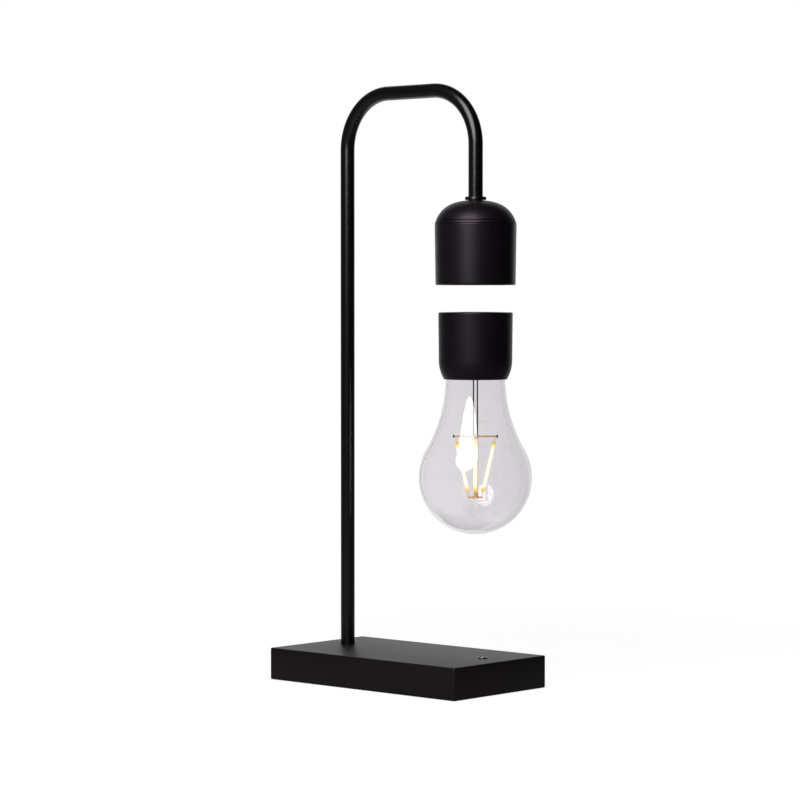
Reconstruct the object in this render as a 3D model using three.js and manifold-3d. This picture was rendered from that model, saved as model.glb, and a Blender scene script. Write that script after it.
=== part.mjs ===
// A desk lamp whose light bulb floats in the air. A flat rectangular base with a charging coil under its
// top carries a bent tube. The tube holds a magnet head, and the head holds up a floating cap with the bulb.
// Millimetres, +Z up. The origin is the middle of the underside. +X runs from the post to the head.

import * as THREE from 'three';
import { mergeVertices, toCreasedNormals } from 'three/addons/utils/BufferGeometryUtils.js';
import Module from 'manifold-3d';

const wasm = await Module();
wasm.setup();

// Clearances
const fitGap = 0.3; // between round parts, and between parts that slide
const seatGap = 0.1; // between faces that rest on each other
const overrun = 1; // how far a cutter runs past what it cuts
const weldDistance = 1e-5;

// Facets
const largeSides = 32;
const mediumSides = 20;
const tubeSides = 16;
const smallSides = 10;
const tinySides = 8;
const wireSides = 6;
const hexSides = 6;
const cornerSteps = 2;
const edgeSteps = 3;
const rimSteps = 4;
const crownSteps = 5;
const lidSteps = 2;
const bulbSteps = 5;
const bendSteps = 6;
const fullTurn = Math.PI * 2;
const quarterTurn = Math.PI / 2;
const creaseAngle = THREE.MathUtils.degToRad(30);
const halfStepShare = 0.5; // of the step between features on a circle

// Base
const baseLength = 180;
const baseWidth = 100;
const baseHeight = 23.3;
const baseCornerRadius = 1.5;
const baseEdgeRadius = 1;
const baseWall = 2.2;
const baseRoof = 2.5;
const padThickness = 1.2;
const padProud = 0.6; // how far the pad lifts the rim of the shell off the table
const padInset = 6;
const padCornerRadius = 4;
const coverThickness = 2.4;
const screwInset = 13; // from the outside of the base to the axis of a cover screw
const screwRadius = 1.5;
const screwLength = 12;
const screwHeadRadius = 2.8;
const screwHeadHeight = 2;
const screwSocketRadius = 1.3;
const screwSocketDepth = 1.1;
const screwSkin = 1.8; // material left round a screw
const pillarRise = 2.6;

// Arm
const armY = 7; // the post, the head and the bulb stand in a plane this far behind the middle
const postInset = 25; // from the left end of the base to the axis of the post
const armSpan = 125; // from the axis of the post to the axis of the head
const armHeight = 430; // axis of the level stretch, above the table
const tubeRadius = 5.2; // with its paint
const tubeWall = 1.2;
const bendRadius = 40;
const dropLength = 39.6; // from the end of the second bend down to the top of the head
const socketSkin = 4.7;
const socketDepth = 5;
const washerRadius = 10;
const washerThickness = 1.2;
const nutRadius = 9.4; // across the corners
const nutHeight = 5;
const tubeTail = 1.2; // what shows of the tube past its nut
const wireRadius = 1.5;
const wireBend = 3;

// Inside the base
const ballastThickness = 5;
const ballastInset = 9; // from the end of the board in to the end of the ballast
const pegRadius = 2;
const pegInset = 8; // from the end of the ballast in to the axis of a peg
const boardThickness = 1.6;
const boardEndInset = 15.8; // from the right end of the base to the board
const boardMargin = 1.2; // from the washer of the arm to the board
const boardLift = 2.2; // from the ballast up to the board
const boardPostRadius = 2.5;
const boardPinRadius = 1.2;
const boardPostInset = 4.5;
const chargeX = 5;
const chargeCoilRadius = 22;
const chargeCoilBore = 10;
const chargeCoilHeight = 1.6;
const ferriteRadius = 25;
const ferriteThickness = 1;
const jackX = -30;
const jackWidth = 9;
const jackHeight = 11;
const jackDepth = 13;
const jackClearance = 3.7; // from the inlet to the board and the ballast
const jackBoreRadius = 3.1;
const jackBoreDepth = 10;
const jackPinRadius = 1;
const jackMouthSkin = 1.2;

// Button
const buttonInset = 23; // from the right end of the base to the axis of the button
const buttonRadius = 3.8;
const buttonProud = 0.8;
const buttonEdgeRadius = 0.5;
const buttonTravel = 0.6;
const buttonFlange = 1.6; // how far the retaining flange reaches past the cap
const buttonFlangeHeight = 1;
const switchWidth = 6.2;
const switchHeight = 4;
const plungerRadius = 1.7;
const plungerDepth = 1.1; // how far the plunger sits in the switch at rest

// Head
const headRadius = 29.2; // at the seam under the ring
const headFootRadius = 28.6;
const headWall = 2.2;
const plateHeight = 2.4; // the part of the bottom plate that shows
const plateFloor = 2;
const plateEdgeRadius = 1;
const plateSpigotHeight = 2.2;
const skirtHeight = 41.15;
const skirtEdge = 0.5;
const crownRadius = 29.1; // foot of the curve that the ring and the dome share
const crownHeight = 16.65;
const crownLean = THREE.MathUtils.degToRad(16);
const crownFootShare = 0.45; // length of the curve's lower handle, over the crown's height
const crownTopShare = 0.6; // length of its upper handle, over the crown's radius
const crownFlatShare = 0.125; // radius of the flat top, over the crown's radius
const ringHeight = 2;
const ringUpstand = 0.6;
const ringUpstandWall = 1.2;
const ringBand = 3.6; // radial width of the ring
const ringSpigotHeight = 6;
const seamGap = 0.15;
const domeCeiling = 3; // thickness of the dome under the collar
const collarRadius = 7.65;
const collarHeight = 2.3;
const collarEdge = 0.5;
const lockNutRadius = 8.6;
const lockNutHeight = 4;
const coreRadius = 6;
const bobbinRadius = 21.3;
const bobbinHeight = 30;
const bobbinFlange = 1.5;
const bobbinTubeWall = 1.2;
const windingInset = 0.8; // from the edge of the bobbin's flange in to the winding
const yokeThickness = 4;
const headScrewCircle = 15;
const headPostRadius = 3;
const headScrewCount = 3;
const headScrewLength = 6;
const powerCoilRadius = 24.8;
const powerCoilBore = 15;
const sensorBoardThickness = 1.6;

// Floating cap
const airGap = 19.3;
const cupRadius = 26.55;
const cupHeight = 47.8;
const cupWaistInset = 0.35; // how much the wall draws in on its way down to the rim curve
const cupEdgeRadius = 1;
const cupWall = 1.6;
const rimCurveHeight = 13.7;
const rimCurveInset = 3.8;
const lidThickness = 2;
const lidRise = 0.4; // how far the middle of the lid stands over its edge
const lidSkirtHeight = 4;
const lidSkirtWall = 1.3;
const magnetRadius = 11;
const magnetHeight = 10;
const carrierWall = 2.2;
const receiverCoilHeight = 1.5;
const carrierFlange = 1.6;
const holderLift = 12.8; // from the rim of the cap up to the disc that holds the bulb
const holderThickness = 2;
const holderSkirtHeight = 5.5;
const holderSkirtWall = 1.2;
const driverBoardRadius = 20;
const driverBoardLift = 7;
const driverPostRadius = 2;
const driverPostCircle = 16;
const driverPostCount = 3;

// Bulb
const bulbRadius = 40.5;
const bulbNeckRadius = 21.35;
const bulbDrop = 70.2; // from the rim of the cap down to the middle of the round part
const bulbWall = 0.8;
const bulbNeckRise = 12.4; // how far the neck reaches up into the cap
const shoulderAngle = THREE.MathUtils.degToRad(29.6);
const shoulderHandleShare = 0.325; // length of the curve's lower handle, over the neck's drop
const neckHandleShare = 0.355; // length of the curve's upper handle, over the neck's drop
const bulbTurn = THREE.MathUtils.degToRad(42); // how far the bulb is turned about its axis
const leadRadius = 0.4;
const leadOffset = 1.4;
const upperBarDrop = 40.7; // from the rim of the cap down to the middle of the upper cross
const upperBarReach = 16.3;
const lowerBarDrop = 84.2;
const lowerBarReach = 5.5;
const barWidth = 1.8;
const barHeight = 1.1;
const hubRadius = 2.7;
const hubHeight = 1.6;
const clipLength = 1.4; // the folded end of an upper bar
const clipWidth = 2.6;
const clipHeight = 2;
const filamentCount = 4;
const filamentRadius = 1;
const filamentCapRadius = 1.15;
const filamentTabRadius = 0.4;
const filamentInset = 2.1; // from the end of the upper bar in to the filament
const filamentFootInset = 0.8; // the same at the lower bar
const filamentEndShare = 0.09; // tab length, over the filament's length
const filamentCapShare = 0.05;

// Levels, from the table up
const shellBottom = padProud;
const roofTop = shellBottom + baseHeight;
const roofUnder = roofTop - baseRoof;
const coverBottom = padThickness + seatGap;
const coverTop = coverBottom + coverThickness;
const pillarTop = coverTop + pillarRise;
const ballastBottom = coverTop + seatGap;
const ballastTop = ballastBottom + ballastThickness;
const boardBottom = ballastTop + boardLift;
const boardTop = boardBottom + boardThickness;
const socketBottom = roofUnder - socketDepth;
const washerBottom = socketBottom - seatGap - washerThickness;
const nutBottom = washerBottom - seatGap - nutHeight;
const tubeBottom = nutBottom - tubeTail;

// Places along the base
const postX = postInset - baseLength / 2;
const buttonX = baseLength / 2 - buttonInset;

// Levels of the head, from the arm down
const headX = postX + armSpan;
const headTop = armHeight - bendRadius - dropLength;
const ringBottom = headTop - crownHeight;
const ringTop = ringBottom + ringHeight;
const domeBottom = ringTop + seamGap;
const skirtTop = ringBottom - seamGap;
const skirtBottom = skirtTop - skirtHeight;
const plateTop = skirtBottom - seamGap;
const headBottom = plateTop - plateHeight;
const headCeiling = headTop - domeCeiling;
const lockNutBottom = headCeiling - seatGap - lockNutHeight;
const tubeTop = lockNutBottom - tubeTail;

// Levels of the floating cap and the bulb
const cupTop = headBottom - airGap;
const cupRim = cupTop - cupHeight;
const lidBottom = cupTop - lidThickness;
const holderBottom = cupRim + holderLift;
const holderTop = holderBottom + holderThickness;
const bulbMiddle = cupRim - bulbDrop;

// A closed three.js geometry as a solid
function solid(geometry) {
  const bare = geometry.clone();
  bare.deleteAttribute('normal');
  bare.deleteAttribute('uv');
  const merged = mergeVertices(bare, weldDistance);
  const corners = merged.index.array;
  const triangles = [];
  for (let i = 0; i < corners.length; i += 3) {
    const [a, b, c] = [corners[i], corners[i + 1], corners[i + 2]];
    if (a !== b && b !== c && c !== a) triangles.push(a, b, c);
  }
  const vertProperties = new Float32Array(merged.attributes.position.array);
  const triVerts = new Uint32Array(triangles);
  return new wasm.Manifold(new wasm.Mesh({ numProp: 3, vertProperties, triVerts }));
}

// A solid as a three.js geometry, with soft shading on its round faces only
function shown(body) {
  const mesh = body.getMesh();
  const geometry = new THREE.BufferGeometry();
  geometry.setAttribute('position', new THREE.BufferAttribute(mesh.vertProperties, 3));
  geometry.setIndex(new THREE.BufferAttribute(mesh.triVerts, 1));
  return toCreasedNormals(geometry, creaseAngle);
}

function join(first, ...others) {
  return others.reduce((sum, other) => sum.add(other), first);
}

function cut(first, ...others) {
  return others.reduce((rest, other) => rest.subtract(other), first);
}

// Turns a profile of [radius, height] pairs about Z. It runs up the outside.
function turned(profile, sides = mediumSides) {
  const points = profile.map(([radius, height]) => new THREE.Vector2(radius, height));
  return solid(new THREE.LatheGeometry(points, sides).rotateX(quarterTurn));
}

function disc(radius, bottom, top, sides = mediumSides) {
  return turned([[0, bottom], [radius, bottom], [radius, top], [0, top]], sides);
}

function washer(outer, inner, bottom, top, sides = mediumSides) {
  return turned([[inner, bottom], [outer, bottom], [outer, top], [inner, top], [inner, bottom]], sides);
}

function block(length, width, bottom, top) {
  return solid(new THREE.BoxGeometry(length, width, top - bottom).translate(0, 0, (bottom + top) / 2));
}

function hexagon(radius, inner, bottom, top) {
  return cut(disc(radius, bottom, top, hexSides), disc(inner, bottom - overrun, top + overrun, mediumSides));
}

function roundedRectangle(length, width, radius) {
  const shape = new THREE.Shape();
  const x = length / 2 - radius;
  const y = width / 2 - radius;
  shape.absarc(x, y, radius, 0, quarterTurn);
  shape.absarc(-x, y, radius, quarterTurn, quarterTurn * 2);
  shape.absarc(-x, -y, radius, quarterTurn * 2, quarterTurn * 3);
  shape.absarc(x, -y, radius, quarterTurn * 3, fullTurn);
  return shape;
}

// A flat slab with rounded corners and, where edge is over zero, rounded edges
function slab(length, width, bottom, top, corner, edge = 0) {
  const geometry = new THREE.ExtrudeGeometry(roundedRectangle(length, width, corner), {
    depth: top - bottom - 2 * edge,
    curveSegments: cornerSteps,
    bevelEnabled: edge > 0,
    bevelThickness: edge,
    bevelSize: edge,
    bevelOffset: -edge,
    bevelSegments: cornerSteps,
  });
  return solid(geometry.translate(0, 0, bottom + edge));
}

// Points of an arc about [x, z], in radius and height
function arc(x, z, radius, from, to, steps) {
  const curve = new THREE.EllipseCurve(x, z, radius, radius, from, to, to < from);
  return curve.getPoints(steps).map((point) => [point.x, point.y]);
}

// Straight runs joined by round bends. It is sampled at the ends of its runs and along its bends.
class BentPath extends THREE.Curve {
  constructor(corners, radii) {
    super();
    this.stations = [];
    corners.forEach((corner, index) => {
      const before = corners[index - 1];
      const after = corners[index + 1];
      if (!before || !after) {
        const along = before ? corner.clone().sub(before) : after.clone().sub(corner);
        this.stations.push({ point: corner, tangent: along.normalize() });
        return;
      }
      const incoming = corner.clone().sub(before).normalize();
      const outgoing = after.clone().sub(corner).normalize();
      const turn = incoming.angleTo(outgoing);
      const radius = radii[index - 1];
      const start = corner.clone().addScaledVector(incoming, -radius * Math.tan(turn / 2));
      const inward = outgoing.clone().addScaledVector(incoming, -Math.cos(turn)).normalize();
      for (let step = 0; step <= bendSteps; step += 1) {
        const angle = (turn * step) / bendSteps;
        const point = start.clone().addScaledVector(incoming, radius * Math.sin(angle));
        point.addScaledVector(inward, radius * (1 - Math.cos(angle)));
        const tangent = incoming.clone().multiplyScalar(Math.cos(angle));
        tangent.addScaledVector(inward, Math.sin(angle));
        this.stations.push({ point, tangent });
      }
    });
  }

  nearest(t) {
    return this.stations[Math.round(t * (this.stations.length - 1))];
  }

  getPoint(t, target = new THREE.Vector3()) {
    return target.copy(this.nearest(t).point);
  }

  getTangent(t, target = new THREE.Vector3()) {
    return target.copy(this.nearest(t).tangent);
  }

  getUtoTmapping(u) {
    return u;
  }
}

// A round section carried along a path, with a bore where boreRadius is over zero
function piped(path, radius, boreRadius, sides) {
  const section = new THREE.Shape().absarc(0, 0, radius, 0, fullTurn);
  if (boreRadius > 0) section.holes.push(new THREE.Path().absarc(0, 0, boreRadius, 0, fullTurn, true));
  return solid(new THREE.ExtrudeGeometry(section, {
    extrudePath: path,
    steps: path.stations.length - 1,
    curveSegments: sides / 2,
  }));
}

function inPlane(x, z, y = armY) {
  return new THREE.Vector3(x, y, z);
}

// Finishes

const lampFinishes = {
  softBlack: { color: 0x1c1b1b, roughness: 0.55, metalness: 0 },
  satinBlack: { color: 0x1a1919, roughness: 0.38, metalness: 0 },
  paintedTube: { color: 0x141313, roughness: 0.3, metalness: 0.2 },
  rubber: { color: 0x232323, roughness: 0.95, metalness: 0 },
  innerPlastic: { color: 0x2b2b2d, roughness: 0.6, metalness: 0 },
  steel: { color: 0x9a9a9c, roughness: 0.4, metalness: 1 },
  magnetMetal: { color: 0xb9b9bc, roughness: 0.25, metalness: 1 },
  copper: { color: 0xb8683a, roughness: 0.35, metalness: 1 },
  ferrite: { color: 0x3a3a3c, roughness: 0.8, metalness: 0 },
  circuitBoard: { color: 0x1f5a3a, roughness: 0.5, metalness: 0 },
  gold: { color: 0xb98a3c, roughness: 0.35, metalness: 1 },
  leadWire: { color: 0x3a3836, roughness: 0.4, metalness: 1 },
  filament: { color: 0xffe9b8, roughness: 0.6, metalness: 0 },
  glass: { color: 0xe9e9ea, roughness: 0.03, metalness: 0, transparent: true, opacity: 0.3 },
};

const lamp = new THREE.Group();

function place(name, body, finish, group = lamp) {
  const mesh = new THREE.Mesh(shown(body), new THREE.MeshStandardMaterial(lampFinishes[finish]));
  mesh.name = name;
  group.add(mesh);
  return mesh;
}

// Groups that stand on the axes of the lamp
const postGroup = new THREE.Group();
postGroup.position.set(postX, armY, 0);
const headGroup = new THREE.Group();
headGroup.position.set(headX, armY, 0);
const buttonGroup = new THREE.Group();
buttonGroup.position.set(buttonX, armY, 0);
const bulbGroup = new THREE.Group();
bulbGroup.position.set(headX, armY, 0);
bulbGroup.rotation.z = bulbTurn;
lamp.add(postGroup, headGroup, buttonGroup, bulbGroup);

// Base shell, cover, pad and screws

const coverInset = baseWall + fitGap;
const screwBore = screwRadius + fitGap;
const counterBore = screwHeadRadius + fitGap;
const screwHeadTop = pillarTop - screwSkin;
const screwX = baseLength / 2 - screwInset;
const screwY = baseWidth / 2 - screwInset;
const screwPlaces = [[-screwX, -screwY], [screwX, -screwY], [screwX, screwY], [-screwX, screwY]];
const jackMiddle = (coverTop + roofUnder) / 2;
const jackFace = baseWidth / 2 - baseWall - seatGap;
const boardLeft = postX + washerRadius + boardMargin;
const boardLength = baseLength / 2 - boardEndInset - boardLeft;
const boardWidth = 2 * (jackFace - jackDepth - jackClearance);
const boardMiddle = boardLeft + boardLength / 2;
const boardPostX = boardLength / 2 - boardPostInset;
const boardPostY = boardWidth / 2 - boardPostInset;
const boardPostPlaces = [[-1, -1], [1, -1], [1, 1], [-1, 1]]
  .map(([sideX, sideY]) => [boardMiddle + sideX * boardPostX, sideY * boardPostY]);
const ballastLength = boardLength - 2 * ballastInset;
const bossReach = roofUnder + baseRoof / 2; // bosses run this high, into the roof that carries them

function alongY(body, x, y, z) {
  return body.rotate([90, 0, 0]).translate([x, y, z]);
}

function baseShell() {
  let shell = cut(
    slab(baseLength, baseWidth, shellBottom, roofTop, baseCornerRadius, baseEdgeRadius),
    block(baseLength - 2 * baseWall, baseWidth - 2 * baseWall, shellBottom - overrun, roofUnder),
  );
  for (const [x, y] of screwPlaces) {
    const boss = washer(screwBore + screwSkin, screwBore, pillarTop + seatGap, bossReach, smallSides);
    shell = join(shell, boss.translate([x, y, 0]));
  }
  for (const [x, y] of boardPostPlaces) {
    const post = disc(boardPostRadius, boardTop + seatGap, bossReach, smallSides);
    const pin = disc(boardPinRadius, boardBottom - boardThickness, bossReach, tinySides);
    shell = join(shell, join(post, pin).translate([x, y, 0]));
  }
  const socket = disc(tubeRadius + fitGap + socketSkin, socketBottom, bossReach);
  const tubeHole = disc(tubeRadius + fitGap, socketBottom - overrun, roofTop + overrun);
  shell = join(shell, socket.translate([postX, armY, 0]));
  const buttonHole = disc(buttonRadius + fitGap, roofUnder - overrun, roofTop + overrun);
  const jackHole = disc(jackBoreRadius + jackMouthSkin, -overrun, baseWall + 2 * overrun);
  return cut(
    shell,
    tubeHole.translate([postX, armY, 0]),
    buttonHole.translate([buttonX, armY, 0]),
    alongY(jackHole, jackX, baseWidth / 2 + overrun, jackMiddle),
  );
}

const pegPlaces = [-1, 1].map((side) => boardMiddle + side * (ballastLength / 2 - pegInset));

function baseCover() {
  const length = baseLength - 2 * coverInset;
  const width = baseWidth - 2 * coverInset;
  let cover = slab(length, width, coverBottom, coverTop, baseCornerRadius);
  for (const [x, y] of screwPlaces) {
    const pillar = disc(counterBore + screwSkin, coverBottom + coverThickness / 2, pillarTop, smallSides);
    const bore = disc(screwBore, coverBottom - overrun, pillarTop + overrun, smallSides);
    const counter = disc(counterBore, coverBottom - overrun, screwHeadTop, smallSides);
    cover = cut(join(cover, pillar.translate([x, y, 0])), join(bore, counter).translate([x, y, 0]));
  }
  for (const x of pegPlaces) {
    const peg = disc(pegRadius, coverBottom + coverThickness / 2, ballastTop, smallSides);
    cover = join(cover, peg.translate([x, 0, 0]));
  }
  return cover;
}

function basePad() {
  let pad = slab(baseLength - 2 * padInset, baseWidth - 2 * padInset, 0, padThickness, padCornerRadius);
  for (const [x, y] of screwPlaces) {
    pad = cut(pad, disc(counterBore, -overrun, padThickness + overrun, smallSides).translate([x, y, 0]));
  }
  return pad;
}

// A screw with its head down, seat level at the top of its head
function screw(seat, length) {
  const head = seat - screwHeadHeight;
  const blank = turned([
    [0, head], [screwHeadRadius, head], [screwHeadRadius, seat],
    [screwRadius, seat], [screwRadius, seat + length], [0, seat + length],
  ], smallSides);
  return cut(blank, disc(screwSocketRadius, head - overrun, head + screwSocketDepth, hexSides));
}

place('base_shell', baseShell(), 'softBlack');
place('base_cover', baseCover(), 'innerPlastic');
place('base_pad', basePad(), 'rubber');
screwPlaces.forEach(([x, y], index) => {
  const mesh = place(`cover_screw_${index + 1}`, screw(screwHeadTop - seatGap, screwLength), 'steel');
  mesh.position.set(x, y, 0);
});

// Ballast, board, charging coil, ferrite and power inlet

function ballastPlate() {
  let plate = block(ballastLength, boardWidth, ballastBottom, ballastTop).translate([boardMiddle, 0, 0]);
  for (const x of pegPlaces) {
    const hole = disc(pegRadius + fitGap, ballastBottom - overrun, boardBottom, smallSides);
    plate = cut(plate, hole.translate([x, 0, 0]));
  }
  return plate;
}

function mainBoard() {
  let board = block(boardLength, boardWidth, boardBottom, boardTop).translate([boardMiddle, 0, 0]);
  for (const [x, y] of boardPostPlaces) {
    const hole = disc(boardPinRadius + fitGap, boardBottom - overrun, boardTop + overrun, smallSides);
    board = cut(board, hole.translate([x, y, 0]));
  }
  return board;
}

function powerJack() {
  const body = solid(new THREE.BoxGeometry(jackWidth, jackDepth, jackHeight))
    .translate([jackX, jackFace - jackDepth / 2, jackMiddle]);
  const bore = washer(jackBoreRadius, jackPinRadius, -overrun, jackBoreDepth, smallSides);
  const mouth = disc(jackBoreRadius, -overrun, overrun, smallSides);
  return cut(body, alongY(join(bore, mouth), jackX, jackFace, jackMiddle));
}

const chargeCoilBottom = roofUnder - seatGap - chargeCoilHeight;
const ferriteBottom = chargeCoilBottom - seatGap - ferriteThickness;
const chargeCoil = washer(chargeCoilRadius, chargeCoilBore, chargeCoilBottom, roofUnder - seatGap);
const chargeFerrite = disc(ferriteRadius, ferriteBottom, ferriteBottom + ferriteThickness);
place('ballast_plate', ballastPlate(), 'steel');
place('main_board', mainBoard(), 'circuitBoard');
place('charge_coil', chargeCoil, 'copper').position.set(chargeX, 0, 0);
place('charge_ferrite', chargeFerrite, 'ferrite').position.set(chargeX, 0, 0);
place('power_jack', powerJack(), 'innerPlastic');

// Power button and its switch

const flangeTop = roofUnder - seatGap;
const flangeBottom = flangeTop - buttonFlangeHeight;
const switchBottom = boardTop + seatGap;
const switchTop = switchBottom + switchHeight;
const plungerBottom = switchTop - plungerDepth;
const wellFloor = plungerBottom - buttonTravel - fitGap;

function powerButton() {
  const top = roofTop + buttonProud;
  const inner = buttonRadius - buttonEdgeRadius;
  const edge = arc(inner, top - buttonEdgeRadius, buttonEdgeRadius, 0, quarterTurn, edgeSteps);
  const flange = buttonRadius + buttonFlange;
  return turned([
    [0, flangeBottom], [flange, flangeBottom], [flange, flangeTop], [buttonRadius, flangeTop],
    ...edge, [0, top],
  ]);
}

function switchBody() {
  const body = block(switchWidth, switchWidth, switchBottom, switchTop);
  return cut(body, disc(plungerRadius + fitGap, wellFloor, switchTop + overrun, smallSides));
}

place('power_button', powerButton(), 'satinBlack', buttonGroup);
place('switch_body', switchBody(), 'innerPlastic', buttonGroup);
const plunger = disc(plungerRadius, plungerBottom, flangeBottom - seatGap, smallSides);
place('switch_plunger', plunger, 'steel', buttonGroup);

// Bent tube, its fastening in the base, and the wire through it

const tubePath = new BentPath([
  inPlane(postX, tubeBottom), inPlane(postX, armHeight),
  inPlane(headX, armHeight), inPlane(headX, tubeTop),
], [bendRadius, bendRadius]);

const wireY = armY - (tubeRadius - tubeWall - fitGap - wireRadius);
const wireLow = coverTop + fitGap + wireRadius;
const wireStart = boardLeft + boardPostInset;
const wireLevel = tubeTop - 2 * wireBend;
const sensorBoardTop = plateTop + plateSpigotHeight + seatGap + sensorBoardThickness;
const wireDrop = (bobbinRadius + headRadius - ringBand) / 2;
const wirePath = new BentPath([
  inPlane(wireStart, boardBottom - fitGap, wireY), inPlane(wireStart, wireLow, wireY),
  inPlane(postX, wireLow, wireY), inPlane(postX, armHeight, wireY),
  inPlane(headX, armHeight, wireY), inPlane(headX, wireLevel, wireY),
  inPlane(headX + wireDrop, wireLevel, wireY), inPlane(headX + wireDrop, sensorBoardTop + fitGap, wireY),
], [wireBend, wireBend, bendRadius, bendRadius, wireBend, wireBend]);

place('arm_tube', piped(tubePath, tubeRadius, tubeRadius - tubeWall, tubeSides), 'paintedTube');
place('arm_wire', piped(wirePath, wireRadius, 0, wireSides), 'rubber');
const tubeFit = tubeRadius + fitGap;
const armWasher = washer(washerRadius, tubeFit, washerBottom, washerBottom + washerThickness);
place('arm_washer', armWasher, 'steel', postGroup);
place('arm_nut', hexagon(nutRadius, tubeFit, nutBottom, nutBottom + nutHeight), 'steel', postGroup);

// Magnet head

const footInner = headFootRadius - headWall;
const seamInner = headRadius - headWall;
const ringInner = headRadius - ringBand;

// The round outside of the ring and the dome, with its skin taken off
function crownSolid(skin) {
  const flat = crownRadius * crownFlatShare;
  const foot = crownHeight * crownFootShare;
  const footRadius = crownRadius - skin;
  const curve = new THREE.CubicBezierCurve(
    new THREE.Vector2(footRadius, ringBottom),
    new THREE.Vector2(footRadius - foot * Math.sin(crownLean), ringBottom + foot * Math.cos(crownLean)),
    new THREE.Vector2(flat + crownRadius * crownTopShare, headTop - skin),
    new THREE.Vector2(flat, headTop - skin),
  );
  const outline = curve.getPoints(crownSteps).map((point) => [point.x, point.y]);
  return turned([[0, ringBottom], ...outline, [0, headTop - skin]], largeSides);
}

function headDome() {
  const crown = crownSolid(0);
  const below = disc(headRadius + overrun, ringBottom - overrun, domeBottom, largeSides);
  const ceiling = disc(headRadius, headCeiling, headTop + overrun, largeSides);
  const upstandFit = ringInner + ringUpstandWall + fitGap;
  const rebate = disc(upstandFit, ringBottom, domeBottom + ringUpstand + fitGap, largeSides);
  let dome = cut(crown, below, cut(crownSolid(headWall), ceiling), rebate);
  for (let index = 0; index < headScrewCount; index += 1) {
    const post = washer(headPostRadius, screwBore, yokeTop + seatGap, headTop, smallSides);
    dome = join(dome, onCircle(post, headScrewCircle, index, headScrewCount, halfStepShare).intersect(crown));
  }
  return cut(dome, disc(tubeFit, domeBottom, headTop + overrun));
}

// A copy on a circle about the axis, index of count, turned on by a share of one step
function onCircle(body, radius, index, count, turnShare = 0) {
  return body.translate([radius, 0, 0]).rotate([0, 0, (360 * (index + turnShare)) / count]);
}

const bobbinBottom = sensorBoardTop + seatGap;
const bobbinTop = bobbinBottom + bobbinHeight;
const yokeBottom = bobbinTop + seatGap;
const yokeTop = yokeBottom + yokeThickness;
const headScrewSeat = yokeBottom + screwHeadHeight + seatGap;
const bobbinBore = coreRadius + fitGap;
const bobbinTube = bobbinBore + bobbinTubeWall;

function headRing() {
  const outer = headRadius + overrun;
  const band = crownSolid(0).intersect(washer(outer, ringInner, ringBottom, ringTop, largeSides));
  const overlapBottom = ringTop - ringUpstand;
  const upstandRadius = ringInner + ringUpstandWall;
  const upstand = washer(upstandRadius, ringInner, overlapBottom, ringTop + ringUpstand, largeSides);
  const narrowing = (headRadius - headFootRadius) * (ringSpigotHeight / skirtHeight);
  const spigotRadius = seamInner - fitGap - narrowing;
  const spigotBottom = ringBottom - ringSpigotHeight;
  const spigot = washer(spigotRadius, ringInner, spigotBottom, overlapBottom, largeSides);
  return join(band, upstand, spigot);
}

function headShell() {
  return turned([
    [footInner, skirtBottom], [headFootRadius, skirtBottom], [headRadius, skirtTop - skirtEdge],
    [headRadius - skirtEdge, skirtTop], [seamInner, skirtTop], [footInner, skirtBottom],
  ], largeSides);
}

function headPlate() {
  const floor = headBottom + plateFloor;
  const inner = headFootRadius - plateEdgeRadius;
  const edge = arc(inner, headBottom + plateEdgeRadius, plateEdgeRadius, -quarterTurn, 0, edgeSteps);
  const spigot = footInner - fitGap;
  const spigotTop = plateTop + plateSpigotHeight;
  const bore = powerCoilRadius + fitGap;
  return turned([
    [0, headBottom], ...edge, [headFootRadius, plateTop], [spigot, plateTop],
    [spigot, spigotTop], [bore, spigotTop], [bore, floor], [0, floor],
  ], largeSides);
}

function headCollar() {
  const bottom = headTop + seatGap;
  const top = bottom + collarHeight;
  return turned([
    [tubeFit, bottom], [collarRadius, bottom], [collarRadius, top - collarEdge],
    [collarRadius - collarEdge, top], [tubeFit, top], [tubeFit, bottom],
  ]);
}

function magnetBobbin() {
  return turned([
    [bobbinBore, bobbinBottom], [bobbinRadius, bobbinBottom], [bobbinRadius, bobbinBottom + bobbinFlange],
    [bobbinTube, bobbinBottom + bobbinFlange], [bobbinTube, bobbinTop - bobbinFlange],
    [bobbinRadius, bobbinTop - bobbinFlange], [bobbinRadius, bobbinTop],
    [bobbinBore, bobbinTop], [bobbinBore, bobbinBottom],
  ]);
}

function magnetYoke() {
  let yoke = disc(bobbinRadius, yokeBottom, yokeTop);
  for (let index = 0; index < headScrewCount; index += 1) {
    const bore = disc(screwBore, yokeBottom - overrun, yokeTop + overrun, smallSides);
    const counter = disc(counterBore, yokeBottom - overrun, headScrewSeat + seatGap, smallSides);
    yoke = cut(yoke, onCircle(join(bore, counter), headScrewCircle, index, headScrewCount, halfStepShare));
  }
  return yoke;
}

place('head_collar', headCollar(), 'satinBlack', headGroup);
place('head_dome', headDome(), 'satinBlack', headGroup);
place('head_ring', headRing(), 'satinBlack', headGroup);
place('head_shell', headShell(), 'satinBlack', headGroup);
place('head_plate', headPlate(), 'satinBlack', headGroup);
const lockNut = hexagon(lockNutRadius, tubeFit, lockNutBottom, lockNutBottom + lockNutHeight);
place('head_lock_nut', lockNut, 'steel', headGroup);

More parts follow.
